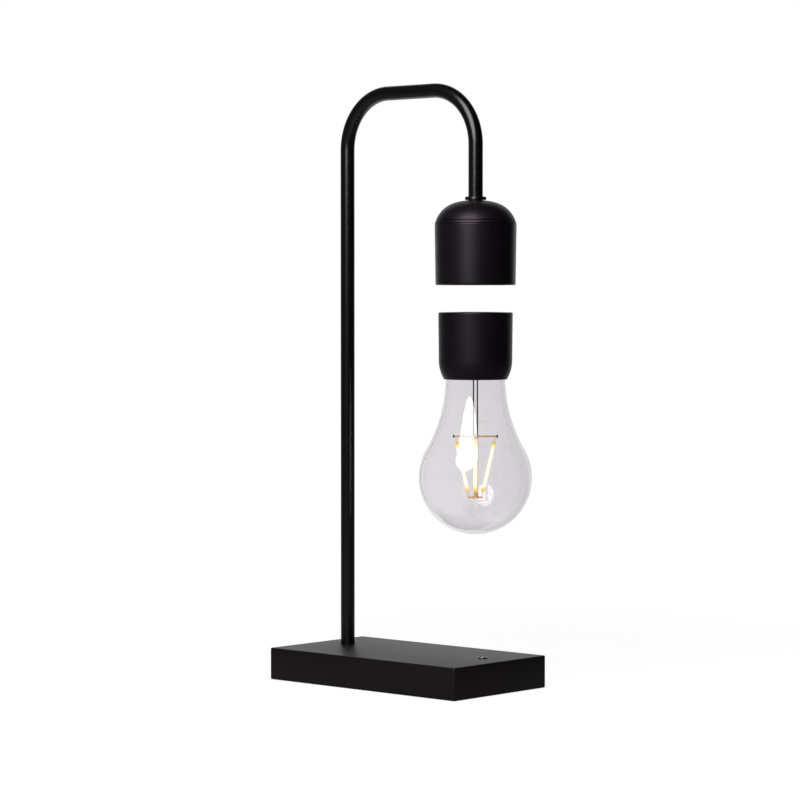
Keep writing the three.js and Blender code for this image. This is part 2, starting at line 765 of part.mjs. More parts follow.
const plateInside = headBottom + plateFloor + seatGap;
const sensorBoardBottom = sensorBoardTop - sensorBoardThickness;
const powerCoil = washer(powerCoilRadius, powerCoilBore, plateInside, sensorBoardBottom - seatGap);
place('power_coil', powerCoil, 'copper', headGroup);
const sensorBoard = disc(footInner - fitGap, sensorBoardBottom, sensorBoardTop);
place('sensor_board', sensorBoard, 'circuitBoard', headGroup);
place('magnet_bobbin', magnetBobbin(), 'innerPlastic', headGroup);
place('magnet_core', disc(coreRadius, bobbinBottom, bobbinTop), 'steel', headGroup);
const windingBottom = bobbinBottom + bobbinFlange + seatGap;
const windingTop = bobbinTop - bobbinFlange - seatGap;
const winding = washer(bobbinRadius - windingInset, bobbinTube + fitGap, windingBottom, windingTop);
place('magnet_winding', winding, 'copper', headGroup);
place('magnet_yoke', magnetYoke(), 'steel', headGroup);

// Floating cap

const cupWaist = cupRadius - cupWaistInset;
const rimCurveRadius = (rimCurveHeight ** 2 + rimCurveInset ** 2) / (2 * rimCurveInset);
const rimCurveX = cupWaist - rimCurveRadius;
const rimCurveTop = cupRim + rimCurveHeight;
const lidFit = cupRadius - cupWall;
const rimMouth = bulbNeckRadius + fitGap;

// Radius inside the cap's wall at a level on the rim curve
function cupInsideAt(level) {
  const drop = rimCurveTop - level;
  return rimCurveX + Math.sqrt((rimCurveRadius - cupWall) ** 2 - drop ** 2);
}

function cupShell() {
  const outerAngle = Math.asin(rimCurveHeight / rimCurveRadius);
  const rim = arc(rimCurveX, rimCurveTop, rimCurveRadius, -outerAngle, 0, rimSteps);
  const innerRadius = rimCurveRadius - cupWall;
  const mouthAngle = Math.acos((rimMouth - rimCurveX) / innerRadius);
  const inside = arc(rimCurveX, rimCurveTop, innerRadius, 0, -mouthAngle, rimSteps);
  const edgeX = cupRadius - cupEdgeRadius;
  const edge = arc(edgeX, cupTop - cupEdgeRadius, cupEdgeRadius, 0, quarterTurn, edgeSteps);
  return turned([
    ...rim, ...edge, [lidFit, cupTop], ...inside, [rimMouth, cupRim], rim[0],
  ], largeSides);
}

function cupLid() {
  const radius = lidFit - fitGap;
  const skirt = radius - lidSkirtWall;
  const crownCurve = (radius ** 2 + lidRise ** 2) / (2 * lidRise);
  const crownEnd = quarterTurn - Math.asin(radius / crownCurve);
  const crown = arc(0, cupTop + lidRise - crownCurve, crownCurve, crownEnd, quarterTurn, lidSteps);
  return turned([
    [0, lidBottom], [skirt, lidBottom], [skirt, lidBottom - lidSkirtHeight],
    [radius, lidBottom - lidSkirtHeight], ...crown,
  ], largeSides);
}

const coilTop = lidBottom - seatGap;
const coilBottom = coilTop - receiverCoilHeight;
const upperFlangeTop = coilBottom - seatGap;
const magnetTop = lidBottom - fitGap;
const magnetBottom = magnetTop - magnetHeight;
const pocketFloor = magnetBottom - fitGap;
const carrierBottom = pocketFloor - carrierFlange;
const pocketRadius = magnetRadius + fitGap;
const drumRadius = pocketRadius + carrierWall;
const upperFlangeRadius = lidFit - 2 * fitGap - lidSkirtWall;
const lowerFlangeRadius = cupWaist - cupWall - fitGap;

function magnetCarrier() {
  return turned([
    [0, carrierBottom], [lowerFlangeRadius, carrierBottom],
    [lowerFlangeRadius, pocketFloor], [drumRadius, pocketFloor],
    [drumRadius, upperFlangeTop - carrierFlange], [upperFlangeRadius, upperFlangeTop - carrierFlange],
    [upperFlangeRadius, upperFlangeTop], [drumRadius, upperFlangeTop], [drumRadius, coilTop],
    [pocketRadius, coilTop], [pocketRadius, pocketFloor], [0, pocketFloor],
  ]);
}

function bulbHolder() {
  const skirtFoot = holderBottom - holderSkirtHeight;
  const skirtOuter = rimMouth + holderSkirtWall;
  const holderRadius = cupInsideAt(holderBottom) - fitGap;
  const holderMiddle = (holderBottom + holderTop) / 2;
  let holder = turned([
    [rimMouth, skirtFoot], [skirtOuter, skirtFoot], [skirtOuter, holderBottom],
    [holderRadius, holderBottom], [holderRadius, holderTop],
    [0, holderTop], [0, holderBottom], [rimMouth, holderBottom], [rimMouth, skirtFoot],
  ], largeSides);
  for (let index = 0; index < driverPostCount; index += 1) {
    const post = disc(driverPostRadius, holderMiddle, driverBoardBottom - seatGap, smallSides);
    holder = join(holder, onCircle(post, driverPostCircle, index, driverPostCount));
  }
  for (const side of [-1, 1]) {
    const hole = disc(leadRadius + fitGap, holderBottom - overrun, holderTop + overrun, tinySides);
    holder = cut(holder, hole.translate([side * leadOffset, 0, 0]));
  }
  return holder;
}

const driverBoardBottom = holderTop + driverBoardLift;
place('cup_shell', cupShell(), 'softBlack', bulbGroup);
place('cup_lid', cupLid(), 'softBlack', bulbGroup);
place('lift_magnet', disc(magnetRadius, magnetBottom, magnetTop), 'magnetMetal', bulbGroup);
place('magnet_carrier', magnetCarrier(), 'innerPlastic', bulbGroup);
const receiverCoil = washer(upperFlangeRadius, drumRadius + fitGap, coilBottom, coilTop);
place('receiver_coil', receiverCoil, 'copper', bulbGroup);
const driverBoard = disc(driverBoardRadius, driverBoardBottom, driverBoardBottom + boardThickness);
place('driver_board', driverBoard, 'circuitBoard', bulbGroup);
place('bulb_holder', bulbHolder(), 'innerPlastic', bulbGroup);

// Glass bulb

// The glass from its lowest point up to the neck, with its skin taken off
function bulbProfile(skin) {
  const radius = bulbRadius - skin;
  const profile = new THREE.Path();
  profile.absarc(0, bulbMiddle, radius, -quarterTurn, shoulderAngle);
  const neckX = bulbNeckRadius - skin;
  const shoulder = profile.getPoint(1);
  const neckDrop = cupRim - shoulder.y;
  const handle = neckDrop * shoulderHandleShare;
  profile.bezierCurveTo(
    shoulder.x - handle * Math.sin(shoulderAngle), shoulder.y + handle * Math.cos(shoulderAngle),
    neckX, cupRim - neckDrop * neckHandleShare, neckX, cupRim,
  );
  profile.lineTo(neckX, cupRim + bulbNeckRise);
  return profile.getPoints(bulbSteps).map((point) => [point.x, point.y]);
}

const bulbWalls = [...bulbProfile(0), ...bulbProfile(bulbWall).reverse()];
place('bulb_glass', turned(bulbWalls, largeSides), 'glass', bulbGroup);

// Lead wires, crosses and filaments inside the glass

const upperBar = cupRim - upperBarDrop;
const lowerBar = cupRim - lowerBarDrop;

function cross(level, reach) {
  const hub = disc(hubRadius, level - hubHeight / 2, level + hubHeight / 2, smallSides);
  const bottom = level - barHeight / 2;
  const bar = block(2 * reach, barWidth, bottom, bottom + barHeight);
  return join(hub, bar, bar.rotate([0, 0, 90]));
}

// With a folded end on each bar, and a hole for the long lead wire
function upperCross() {
  let body = cross(upperBar, upperBarReach);
  const clip = block(clipLength, clipWidth, upperBar - clipHeight / 2, upperBar + clipHeight / 2);
  for (let index = 0; index < filamentCount; index += 1) {
    body = join(body, onCircle(clip, upperBarReach - clipLength / 2, index, filamentCount));
  }
  const hole = disc(leadRadius + fitGap, upperBar - hubHeight, upperBar + hubHeight, tinySides);
  return cut(body, hole.translate([leadOffset, 0, 0]));
}

place('upper_cross', upperCross(), 'gold', bulbGroup);
place('lower_cross', cross(lowerBar, lowerBarReach), 'gold', bulbGroup);

const leadTop = driverBoardBottom - seatGap;
const leads = [
  { name: 'lead_wire_short', x: -leadOffset, bottom: upperBar + hubHeight / 2 + seatGap },
  { name: 'lead_wire_long', x: leadOffset, bottom: lowerBar + hubHeight / 2 + seatGap },
];
for (const { name, x, bottom } of leads) {
  place(name, disc(leadRadius, bottom, leadTop, wireSides), 'leadWire', bulbGroup).position.x = x;
}

// Between a point above the lower bar and a point below the upper bar, tabs and caps at both ends
const filamentFoot = new THREE.Vector2(lowerBarReach - filamentFootInset, lowerBar + barHeight / 2 + fitGap);
const filamentHead = new THREE.Vector2(upperBarReach - filamentInset, upperBar - barHeight / 2 - fitGap);
const filamentLength = filamentFoot.distanceTo(filamentHead);
const filamentLean = Math.atan2(filamentHead.x - filamentFoot.x, filamentHead.y - filamentFoot.y);

function filament() {
  const tab = filamentLength * filamentEndShare;
  const cap = tab + filamentLength * filamentCapShare;
  return turned([
    [0, 0], [filamentTabRadius, 0], [filamentTabRadius, tab], [filamentCapRadius, tab],
    [filamentCapRadius, cap], [filamentRadius, cap],
    [filamentRadius, filamentLength - cap], [filamentCapRadius, filamentLength - cap],
    [filamentCapRadius, filamentLength - tab], [filamentTabRadius, filamentLength - tab],
    [filamentTabRadius, filamentLength], [0, filamentLength],
  ], tinySides);
}

for (let index = 0; index < filamentCount; index += 1) {
  const turn = new THREE.Group();
  turn.rotation.z = (fullTurn * index) / filamentCount;
  const mesh = place(`filament_${index + 1}`, filament(), 'filament', turn);
  mesh.position.set(filamentFoot.x, 0, filamentFoot.y);
  mesh.rotation.y = filamentLean;
  bulbGroup.add(turn);
}

// Screws that hold the yoke up to the dome, with their heads let into the yoke
for (let index = 0; index < headScrewCount; index += 1) {
  const turn = new THREE.Group();
  turn.rotation.z = (fullTurn * (index + halfStepShare)) / headScrewCount;
  const mesh = place(`head_screw_${index + 1}`, screw(headScrewSeat, headScrewLength), 'steel', turn);
  mesh.position.x = headScrewCircle;
  headGroup.add(turn);
}

export default lamp;
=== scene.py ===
# Looks for a desk lamp with a floating light bulb: a flat black base, a bent tube, a magnet head,
# and under it a cap with a clear filament bulb that hangs in the air. The scene is in metres with
# +Z up, as the frame is. Lengths in the dictionaries are in millimetres unless a note says metres.

import math
import bpy
from mathutils import Matrix, Vector


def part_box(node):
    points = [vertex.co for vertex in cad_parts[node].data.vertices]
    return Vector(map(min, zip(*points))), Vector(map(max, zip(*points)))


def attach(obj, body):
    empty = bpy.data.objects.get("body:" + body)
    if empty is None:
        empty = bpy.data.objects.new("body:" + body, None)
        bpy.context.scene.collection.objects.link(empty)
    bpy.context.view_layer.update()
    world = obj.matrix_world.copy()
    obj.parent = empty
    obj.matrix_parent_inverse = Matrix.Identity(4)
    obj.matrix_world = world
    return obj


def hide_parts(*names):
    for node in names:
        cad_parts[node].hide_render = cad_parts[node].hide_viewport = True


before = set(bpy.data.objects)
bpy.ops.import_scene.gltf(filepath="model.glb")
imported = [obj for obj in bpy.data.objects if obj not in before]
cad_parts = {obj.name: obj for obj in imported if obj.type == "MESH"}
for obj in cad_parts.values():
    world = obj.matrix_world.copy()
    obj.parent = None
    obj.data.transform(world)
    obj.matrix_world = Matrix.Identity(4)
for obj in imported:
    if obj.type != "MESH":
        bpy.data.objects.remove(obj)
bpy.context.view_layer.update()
print("frame loaded")

mm = 0.001
fullTurn = 2 * math.pi
quarterTurn = math.pi / 2

# Axes and levels that the frame gives, in millimetres, as all outlines are


def low(node):
    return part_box(node)[0] / mm


def high(node):
    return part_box(node)[1] / mm


def middleOf(node):
    return (low(node) + high(node)) / 2


headAxis = middleOf("head_shell")
postX = low("arm_tube").x + (high("arm_tube").y - low("arm_tube").y) / 2
buttonAxis = middleOf("power_button")
headTop = high("head_dome").z
skirtTop = high("head_shell").z
skirtBottom = low("head_shell").z
cupTop = high("cup_shell").z
cupRim = low("cup_shell").z

# Camera, at the photograph's angle

cameraView = {
    "place": (1.4231, -1.5775, 0.28006),  # metres
    "turn": 42.18,  # degrees to the left of +Y
    "pitch": 1.973,  # degrees down
    "lens": 131.9,
    "sensor": 36,
}

bpy.ops.object.select_all(action="DESELECT")
bpy.ops.object.camera_add(
    location=cameraView["place"],
    rotation=(math.radians(90 - cameraView["pitch"]), 0, math.radians(cameraView["turn"])),
)
camera = bpy.context.object
camera.name = "photoCamera"
camera.data.lens = cameraView["lens"]
camera.data.sensor_width = cameraView["sensor"]
bpy.context.scene.camera = camera
print("camera set")

# Materials


# A colour written in sRGB hex, made linear
def paint(hexColour):
    channels = [int(hexColour[start:start + 2], 16) / 255 for start in (1, 3, 5)]
    linear = [c / 12.92 if c <= 0.04045 else ((c + 0.055) / 1.055) ** 2.4 for c in channels]
    return (*linear, 1)


def addNode(tree, kind, inputs=None, **settings):
    node = tree.nodes.new("ShaderNode" + kind)
    for name, value in settings.items():
        setattr(node, name, value)
    for socket, value in (inputs or {}).items():
        if isinstance(value, bpy.types.NodeSocket):
            tree.links.new(value, node.inputs[socket])
        else:
            node.inputs[socket].default_value = value
    return node


def startMaterial(name):
    material = bpy.data.materials.new(name)
    material.use_nodes = True
    material.node_tree.nodes.clear()
    return material, material.node_tree


def endMaterial(tree, surface):
    addNode(tree, "OutputMaterial", {"Surface": surface.outputs[0]})


# The part of a noise's range that is spread over the whole change of roughness or colour
grainRange = (0.3, 0.7)
cloudRange = (0.35, 0.65)


# A surface whose roughness and height vary with a fine grain, and its colour with a broad cloud
def grainedMaterial(name, look):
    material, tree = startMaterial(name)
    place = addNode(tree, "TexCoord").outputs["Object"]
    grain = addNode(tree, "TexNoise", {
        "Vector": place, "Scale": 1 / (look["grain"] * mm), "Detail": 3, "Roughness": 0.6,
    })
    cloud = addNode(tree, "TexNoise", {
        "Vector": place, "Scale": 1 / (look["cloud"] * mm), "Detail": 2,
    })
    colour = addNode(tree, "ValToRGB", {"Fac": cloud.outputs["Fac"]})
    for index, shade in enumerate(("dark", "light")):
        colour.color_ramp.elements[index].position = cloudRange[index]
        colour.color_ramp.elements[index].color = paint(look[shade])
    rough = addNode(tree, "MapRange", {
        "Value": grain.outputs["Fac"], "From Min": grainRange[0], "From Max": grainRange[1],
        "To Min": look["rough"] - look["roughSwing"], "To Max": look["rough"] + look["roughSwing"],
    })
    bump = addNode(tree, "Bump", {
        "Height": grain.outputs["Fac"], "Strength": look["bump"], "Distance": look["depth"] * mm,
    })
    shader = addNode(tree, "BsdfPrincipled", {
        "Base Color": colour.outputs["Color"], "Roughness": rough.outputs["Result"],
        "Normal": bump.outputs["Normal"], "Metallic": look.get("metallic", 0),
        "IOR": look.get("ior", 1.5), "Specular IOR Level": look.get("specular", 0.5),
        "Specular Tint": paint(look.get("tint", "#ffffff")),
    })
    endMaterial(tree, shader)
    return material


# Moulded ABS with a soft matt coat: even black, with a faint sandy grain that breaks up reflections
softCoatedAbs = grainedMaterial("softCoatedAbs", {
    "dark": "#0a0809", "light": "#0e0b0d", "rough": 0.45, "roughSwing": 0.05,
    "grain": 0.5, "cloud": 40, "bump": 0.2, "depth": 0.03,
    "ior": 1.5, "specular": 0.38, "tint": "#fff4f8",
})
# Moulded ABS from a fine-blasted mould: satin black with a trace of plum, and one soft broad
# highlight
satinAbs = grainedMaterial("satinAbs", {
    "dark": "#0a060a", "light": "#0c080c", "rough": 0.35, "roughSwing": 0.03,
    "grain": 0.4, "cloud": 25, "bump": 0.1, "depth": 0.02,
    "ior": 1.5, "specular": 0.42, "tint": "#fff0fa",
})
# The same ABS from a coarser mould: duller
mattAbs = grainedMaterial("mattAbs", {
    "dark": "#0a060a", "light": "#0c080c", "rough": 0.42, "roughSwing": 0.03,
    "grain": 0.45, "cloud": 25, "bump": 0.06, "depth": 0.02,
    "ior": 1.5, "specular": 0.28, "tint": "#ffeefc",
})
# Powder-coated steel tube: deep black with a narrow clear highlight and a trace of orange peel
powderCoat = grainedMaterial("powderCoat", {
    "dark": "#060506", "light": "#080708", "rough": 0.24, "roughSwing": 0.02,
    "grain": 2.5, "cloud": 30, "bump": 0.02, "depth": 0.02, "ior": 1.5,
})
# Lacquered brass: black and as glossy as the tube, with no orange peel
blackLacquer = grainedMaterial("blackLacquer", {
    "dark": "#070607", "light": "#090809", "rough": 0.24, "roughSwing": 0.02,
    "grain": 1.0, "cloud": 10, "bump": 0.05, "depth": 0.01, "ior": 1.5,
})
# Silicone rubber foot: dull black with dust in its grain
siliconeRubber = grainedMaterial("siliconeRubber", {
    "dark": "#151515", "light": "#1e1e1e", "rough": 0.85, "roughSwing": 0.08,
    "grain": 0.8, "cloud": 15, "bump": 0.4, "depth": 0.05, "ior": 1.43,
})
# Glass-filled nylon of the hidden mouldings: dark grey, flat
filledNylon = grainedMaterial("filledNylon", {
    "dark": "#222224", "light": "#2b2b2e", "rough": 0.6, "roughSwing": 0.08,
    "grain": 0.6, "cloud": 12, "bump": 0.3, "depth": 0.03, "ior": 1.53,
})
# Zinc-plated steel of plates, nuts and screws: grey metal with a cloudy bloom
zincSteel = grainedMaterial("zincSteel", {
    "dark": "#7d7e80", "light": "#9c9d9f", "rough": 0.38, "roughSwing": 0.08,
    "grain": 0.7, "cloud": 6, "bump": 0.1, "depth": 0.01, "metallic": 1,
})
# Nickel-plated magnet: bright, slightly yellow metal
nickelPlate = grainedMaterial("nickelPlate", {
    "dark": "#a8a49c", "light": "#bcb8b0", "rough": 0.22, "roughSwing": 0.05,
    "grain": 0.9, "cloud": 8, "bump": 0.05, "depth": 0.01, "metallic": 1,
})
# Enamelled copper wire, wound: orange metal, uneven as a winding is
enamelledCopper = grainedMaterial("enamelledCopper", {
    "dark": "#8a4526", "light": "#b8683a", "rough": 0.3, "roughSwing": 0.1,
    "grain": 0.5, "cloud": 3, "bump": 0.5, "depth": 0.05, "metallic": 1,
})
# Sintered ferrite: charcoal ceramic with a powdery surface
sinteredFerrite = grainedMaterial("sinteredFerrite", {
    "dark": "#2c2c2e", "light": "#3a3a3c", "rough": 0.8, "roughSwing": 0.08,
    "grain": 0.3, "cloud": 5, "bump": 0.4, "depth": 0.03, "ior": 1.7,
})
# Glass-fibre board under green solder mask: satin green, not quite even
solderMask = grainedMaterial("solderMask", {
    "dark": "#174a30", "light": "#1f5a3a", "rough": 0.35, "roughSwing": 0.06,
    "grain": 0.6, "cloud": 4, "bump": 0.15, "depth": 0.02, "ior": 1.52,
})
# Brass strip with a heat-dulled lacquer: tan, with browner patches
dulledBrass = grainedMaterial("dulledBrass", {
    "dark": "#d8a266", "light": "#f0bd80", "rough": 0.42, "roughSwing": 0.08,
    "grain": 0.4, "cloud": 2, "bump": 0.1, "depth": 0.01, "metallic": 0.3,
})
# Oxidised nickel lead wire: near black
oxidisedNickel = grainedMaterial("oxidisedNickel", {
    "dark": "#141210", "light": "#26221f", "rough": 0.45, "roughSwing": 0.08,
    "grain": 0.4, "cloud": 3, "bump": 0.1, "depth": 0.01, "metallic": 1,
})


# Clear blown soda-lime glass with a slight smoky cast, and a painted shade that darkens its tint
# towards one side: smooth, with faint waves in its reflections
clearGlass = {
    "ior": 1.5,
    "waves": 22,
    "waveBump": 0.3,
    "waveDepth": 0.05,
    "plainTint": "#efeeef",
    "paintedShadeTint": "#e7e5e7",
    "paintedShadeTurn": math.radians(42),
    "reach": 40,
}


def blownGlass(look):
    material, tree = startMaterial("blownGlass")
    place = addNode(tree, "TexCoord").outputs["Object"]
    waves = addNode(tree, "TexNoise", {
        "Vector": place, "Scale": 1 / (look["waves"] * mm), "Detail": 1,
    })
    bump = addNode(tree, "Bump", {
        "Height": waves.outputs["Fac"], "Strength": look["waveBump"],
        "Distance": look["waveDepth"] * mm,
    })
    fromMiddle = addNode(tree, "VectorMath", {0: place, 1: headAxis * mm}, operation="SUBTRACT")
    # Painted shade: the glass's tint darkens towards this side of the bulb
    shadedSide = (math.cos(look["paintedShadeTurn"]), math.sin(look["paintedShadeTurn"]), 0)
    across = addNode(tree, "VectorMath", {
        0: fromMiddle.outputs["Vector"], 1: shadedSide,
    }, operation="DOT_PRODUCT")
    reach = look["reach"] * mm
    share = addNode(tree, "MapRange", {
        "Value": across.outputs["Value"], "From Min": -reach, "From Max": reach,
    })
    tint = addNode(tree, "ValToRGB", {"Fac": share.outputs["Result"]})
    tint.color_ramp.elements[0].color = paint(look["plainTint"])
    tint.color_ramp.elements[1].color = paint(look["paintedShadeTint"])
    shader = addNode(tree, "BsdfPrincipled", {
        "Base Color": tint.outputs["Color"], "Roughness": 0, "IOR": look["ior"],
        "Transmission Weight": 1, "Normal": bump.outputs["Normal"],
    })
    endMaterial(tree, shader)
    return material


# Phosphor-coated strip of light-emitting chips, lit: warm white along its middle, amber in the last
# few millimetres at both ends, where the chips stop and only stray light reaches the coat
glowingStrip = {
    "coat": "#ccb25a",
    "mottle": 1.2,
    "smoothest": 0.5,
    "roughest": 0.8,
    "colours": ("#fffdf4", "#ffe9a0", "#f0c85c"),
    "colourStops": (0.72, 0.83, 0.92),  # shares of the way from the middle of the strip to its end
    "dimStart": 0.75,
    "dimEnd": 0.92,
    "glow": 1.1,
    "dimGlow": 0.6,
}


def litPhosphor(look, lowest, highest):
    material, tree = startMaterial("litPhosphor")
    place = addNode(tree, "TexCoord").outputs["Object"]
    level = addNode(tree, "SeparateXYZ", {"Vector": place}).outputs["Z"]
    offset = addNode(tree, "Math", {0: level, 1: (lowest + highest) / 2}, operation="SUBTRACT")
    distance = addNode(tree, "Math", {0: offset.outputs[0]}, operation="ABSOLUTE")
    away = addNode(tree, "MapRange", {
        "Value": distance.outputs[0], "From Min": 0, "From Max": (highest - lowest) / 2,
    })
    mottle = addNode(tree, "TexNoise", {
        "Vector": place, "Scale": 1 / (look["mottle"] * mm), "Detail": 2,
    })
    colour = addNode(tree, "ValToRGB", {"Fac": away.outputs["Result"]})
    stops = colour.color_ramp.elements
    stops[0].position, stops[1].position = look["colourStops"][0], look["colourStops"][2]
    stops.new(look["colourStops"][1])
    for stop, hexColour in zip(stops, look["colours"]):
        stop.color = paint(hexColour)
    strength = addNode(tree, "MapRange", {
        "Value": away.outputs["Result"], "From Min": look["dimStart"], "From Max": look["dimEnd"],
        "To Min": look["glow"], "To Max": look["dimGlow"],
    })
    rough = addNode(tree, "MapRange", {
        "Value": mottle.outputs["Fac"], "To Min": look["smoothest"], "To Max": look["roughest"],
    })
    shader = addNode(tree, "BsdfPrincipled", {
        "Base Color": paint(look["coat"]), "Roughness": rough.outputs["Result"],
        "Emission Color": colour.outputs["Color"], "Emission Strength": strength.outputs["Result"],
    })
    endMaterial(tree, shader)
    return material


glassMaterial = blownGlass(clearGlass)
print("materials made")

# Modelling helpers. Outlines are lists of (radius, level) in millimetres.


def deselectAll():
    if bpy.context.object and bpy.context.object.mode != "OBJECT":
        bpy.ops.object.mode_set(mode="OBJECT")
    bpy.ops.object.select_all(action="DESELECT")


def selectOnly(*pieces):
    deselectAll()
    for piece in pieces:
        piece.select_set(True)
    bpy.context.view_layer.objects.active = pieces[0]


def arcPoints(middle, radius, start, end, steps):
    points = []
    for step in range(steps + 1):
        angle = start + (end - start) * step / steps
        points.append(
            (middle[0] + radius * math.cos(angle), middle[1] + radius * math.sin(angle))
        )
    return points


def bezierPoints(ends, handles, steps):
    points = []
    for step in range(steps + 1):
        t = step / steps
        weights = ((1 - t) ** 3, 3 * t * (1 - t) ** 2, 3 * t * t * (1 - t), t ** 3)
        corners = (ends[0], handles[0], handles[1], ends[1])
        points.append(tuple(sum(w * c[axis] for w, c in zip(weights, corners)) for axis in (0, 1)))
    return points


# Extra points close to both ends of each long straight run, which keep its shading even
def supported(outline, inset=0.3, longRun=2):
    points = outline[:1]
    for before, after in zip(outline, outline[1:]):
        run = math.dist(before, after)
        shares = (inset / run, 1 - inset / run) if run > longRun else ()
        points += [tuple(b + (a - b) * share for b, a in zip(before, after)) for share in shares]
        points.append(after)
    return points


# Turns an outline about the vertical through axis. Edges that bend by more than smooth, in degrees,
# stay crisp.
def turnedPiece(name, axis, outline, sides, smooth=35):
    outline = supported(outline)
    deselectAll()
    bpy.ops.mesh.primitive_plane_add(size=mm, location=(axis.x * mm, axis.y * mm, 0))
    piece = bpy.context.object
    piece.name = name
    bpy.ops.object.mode_set(mode="EDIT")
    bpy.ops.mesh.select_mode(type="VERT")
    bpy.ops.mesh.select_all(action="SELECT")
    bpy.ops.mesh.merge(type="CENTER")
    bpy.ops.transform.translate(value=(outline[0][0] * mm, 0, outline[0][1] * mm))
    for before, after in zip(outline, outline[1:]):
        step = ((after[0] - before[0]) * mm, 0, (after[1] - before[1]) * mm)
        bpy.ops.mesh.extrude_region_move(TRANSFORM_OT_translate={"value": step})
    bpy.ops.mesh.select_all(action="SELECT")
    bpy.ops.mesh.spin(
        steps=sides, angle=fullTurn, axis=(0, 0, 1), center=(axis.x * mm, axis.y * mm, 0),
    )
    closeShell()
    bpy.ops.object.mode_set(mode="OBJECT")
    bpy.ops.object.shade_smooth_by_angle(angle=math.radians(smooth))
    return piece


def closeShell():
    bpy.ops.mesh.select_all(action="SELECT")
    bpy.ops.mesh.remove_doubles(threshold=0.001 * mm)
    bpy.ops.mesh.normals_make_consistent(inside=False)


def applyPlace(piece):
    selectOnly(piece)
    bpy.ops.object.transform_apply(location=True, rotation=True, scale=True)


def applyModifiers(piece):
    selectOnly(piece)
    for modifier in list(piece.modifiers):
        bpy.ops.object.modifier_apply(modifier=modifier.name)


def cutWith(piece, cutter):
    modifier = piece.modifiers.new("cut", "BOOLEAN")
    modifier.object = cutter
    modifier.operation = "DIFFERENCE"
    modifier.solver = "EXACT"
    applyModifiers(piece)
    bpy.data.objects.remove(cutter)


# A hollow post between two levels
def bossOn(axis, radius, bore, bottom, top, sides=32):
    outline = [(bore, bottom), (radius, bottom), (radius, top), (bore, top), (bore, bottom)]
    return turnedPiece("boss", axis, outline, sides)


def joined(name, pieces):
    selectOnly(*pieces)
    bpy.ops.object.join()
    whole = bpy.context.object
    whole.name = name
    return whole


def finishPiece(piece, material, body, slot, *nodes):
    applyPlace(piece)
    piece.data.materials.clear()
    piece.data.materials.append(material)
    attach(piece, body)
    if nodes:
        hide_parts(*nodes)
    print("made", piece.name)


# Base: a moulded shell, hollow below, with holes for the tube, the button and the power inlet.
# Under its roof are a socket for the tube, bosses for the cover screws and stepped posts for the
# circuit board.

baseShell = {
    "wall": 2.2,
    "roof": 2.5,
    "cornerRadius": 1.5,
    "edgeRadius": 1.0,
    "roundSteps": 4,
    "tubeHole": 5.5,
    "buttonHole": 4.1,
    "inletHole": 4.3,
    "holeSides": 64,
    "socketRadius": 10.2,
    "socketDepth": 5,
    "screws": 4,
    "bossRadius": 3.6,
    "bossBore": 1.8,
    "bossLength": 10,  # from the tip of a cover screw down to the foot of its boss
    "postRadius": 2.5,
    "postSides": 32,
    "postGap": 0.1,  # over the circuit board
    "postInset": 4.5,  # from the edges of the board
    "pinRadius": 1.2,
    "pinReach": 1.6,  # past the far side of the board
    "smooth": 25,
}


def selectFaces(piece, test):
    bpy.ops.mesh.select_all(action="DESELECT")
    bpy.ops.object.mode_set(mode="OBJECT")
    for face in piece.data.polygons:
        face.select = test(face)
    bpy.ops.object.mode_set(mode="EDIT")


def selectEdges(piece, test):
    bpy.ops.mesh.select_all(action="DESELECT")
    bpy.ops.mesh.select_mode(type="EDGE")
    bpy.ops.object.mode_set(mode="OBJECT")
    corners = piece.data.vertices
    for edge in piece.data.edges:
        edge.select = test(corners[edge.vertices[0]].co, corners[edge.vertices[1]].co)
    bpy.ops.object.mode_set(mode="EDIT")


def holeCutter(radius, place, length, sides, upright=True):
    deselectAll()
    turn = (0, 0, 0) if upright else (quarterTurn, 0, 0)
    bpy.ops.mesh.primitive_cylinder_add(
        vertices=sides, radius=radius * mm, depth=length * mm,
        location=Vector(place) * mm, rotation=turn,
    )
    return bpy.context.object


# Socket, bosses and posts, which all run up into the roof
def makeBosses(look, roofUnder):
    top = roofUnder + look["roof"] / 2
    postAxis = Vector((postX, headAxis.y))
    foot = roofUnder - look["socketDepth"]
    pieces = [bossOn(postAxis, look["socketRadius"], look["tubeHole"], foot, top)]
    for index in range(1, look["screws"] + 1):
        screw = f"cover_screw_{index}"
        foot = high(screw).z - look["bossLength"]
        pieces.append(bossOn(middleOf(screw), look["bossRadius"], look["bossBore"], foot, top))
    board = low("main_board"), high("main_board")
    foot = board[1].z + look["postGap"]
    pinFoot = board[0].z - look["pinReach"]
    inset = look["postInset"]
    outline = [(0, pinFoot), (look["pinRadius"], pinFoot), (look["pinRadius"], foot)]
    outline += [(look["postRadius"], foot), (look["postRadius"], top), (0, top)]
    for x in (board[0].x + inset, board[1].x - inset):
        for y in (board[0].y + inset, board[1].y - inset):
            pieces.append(turnedPiece("boardPost", Vector((x, y)), outline, look["postSides"]))
    return pieces


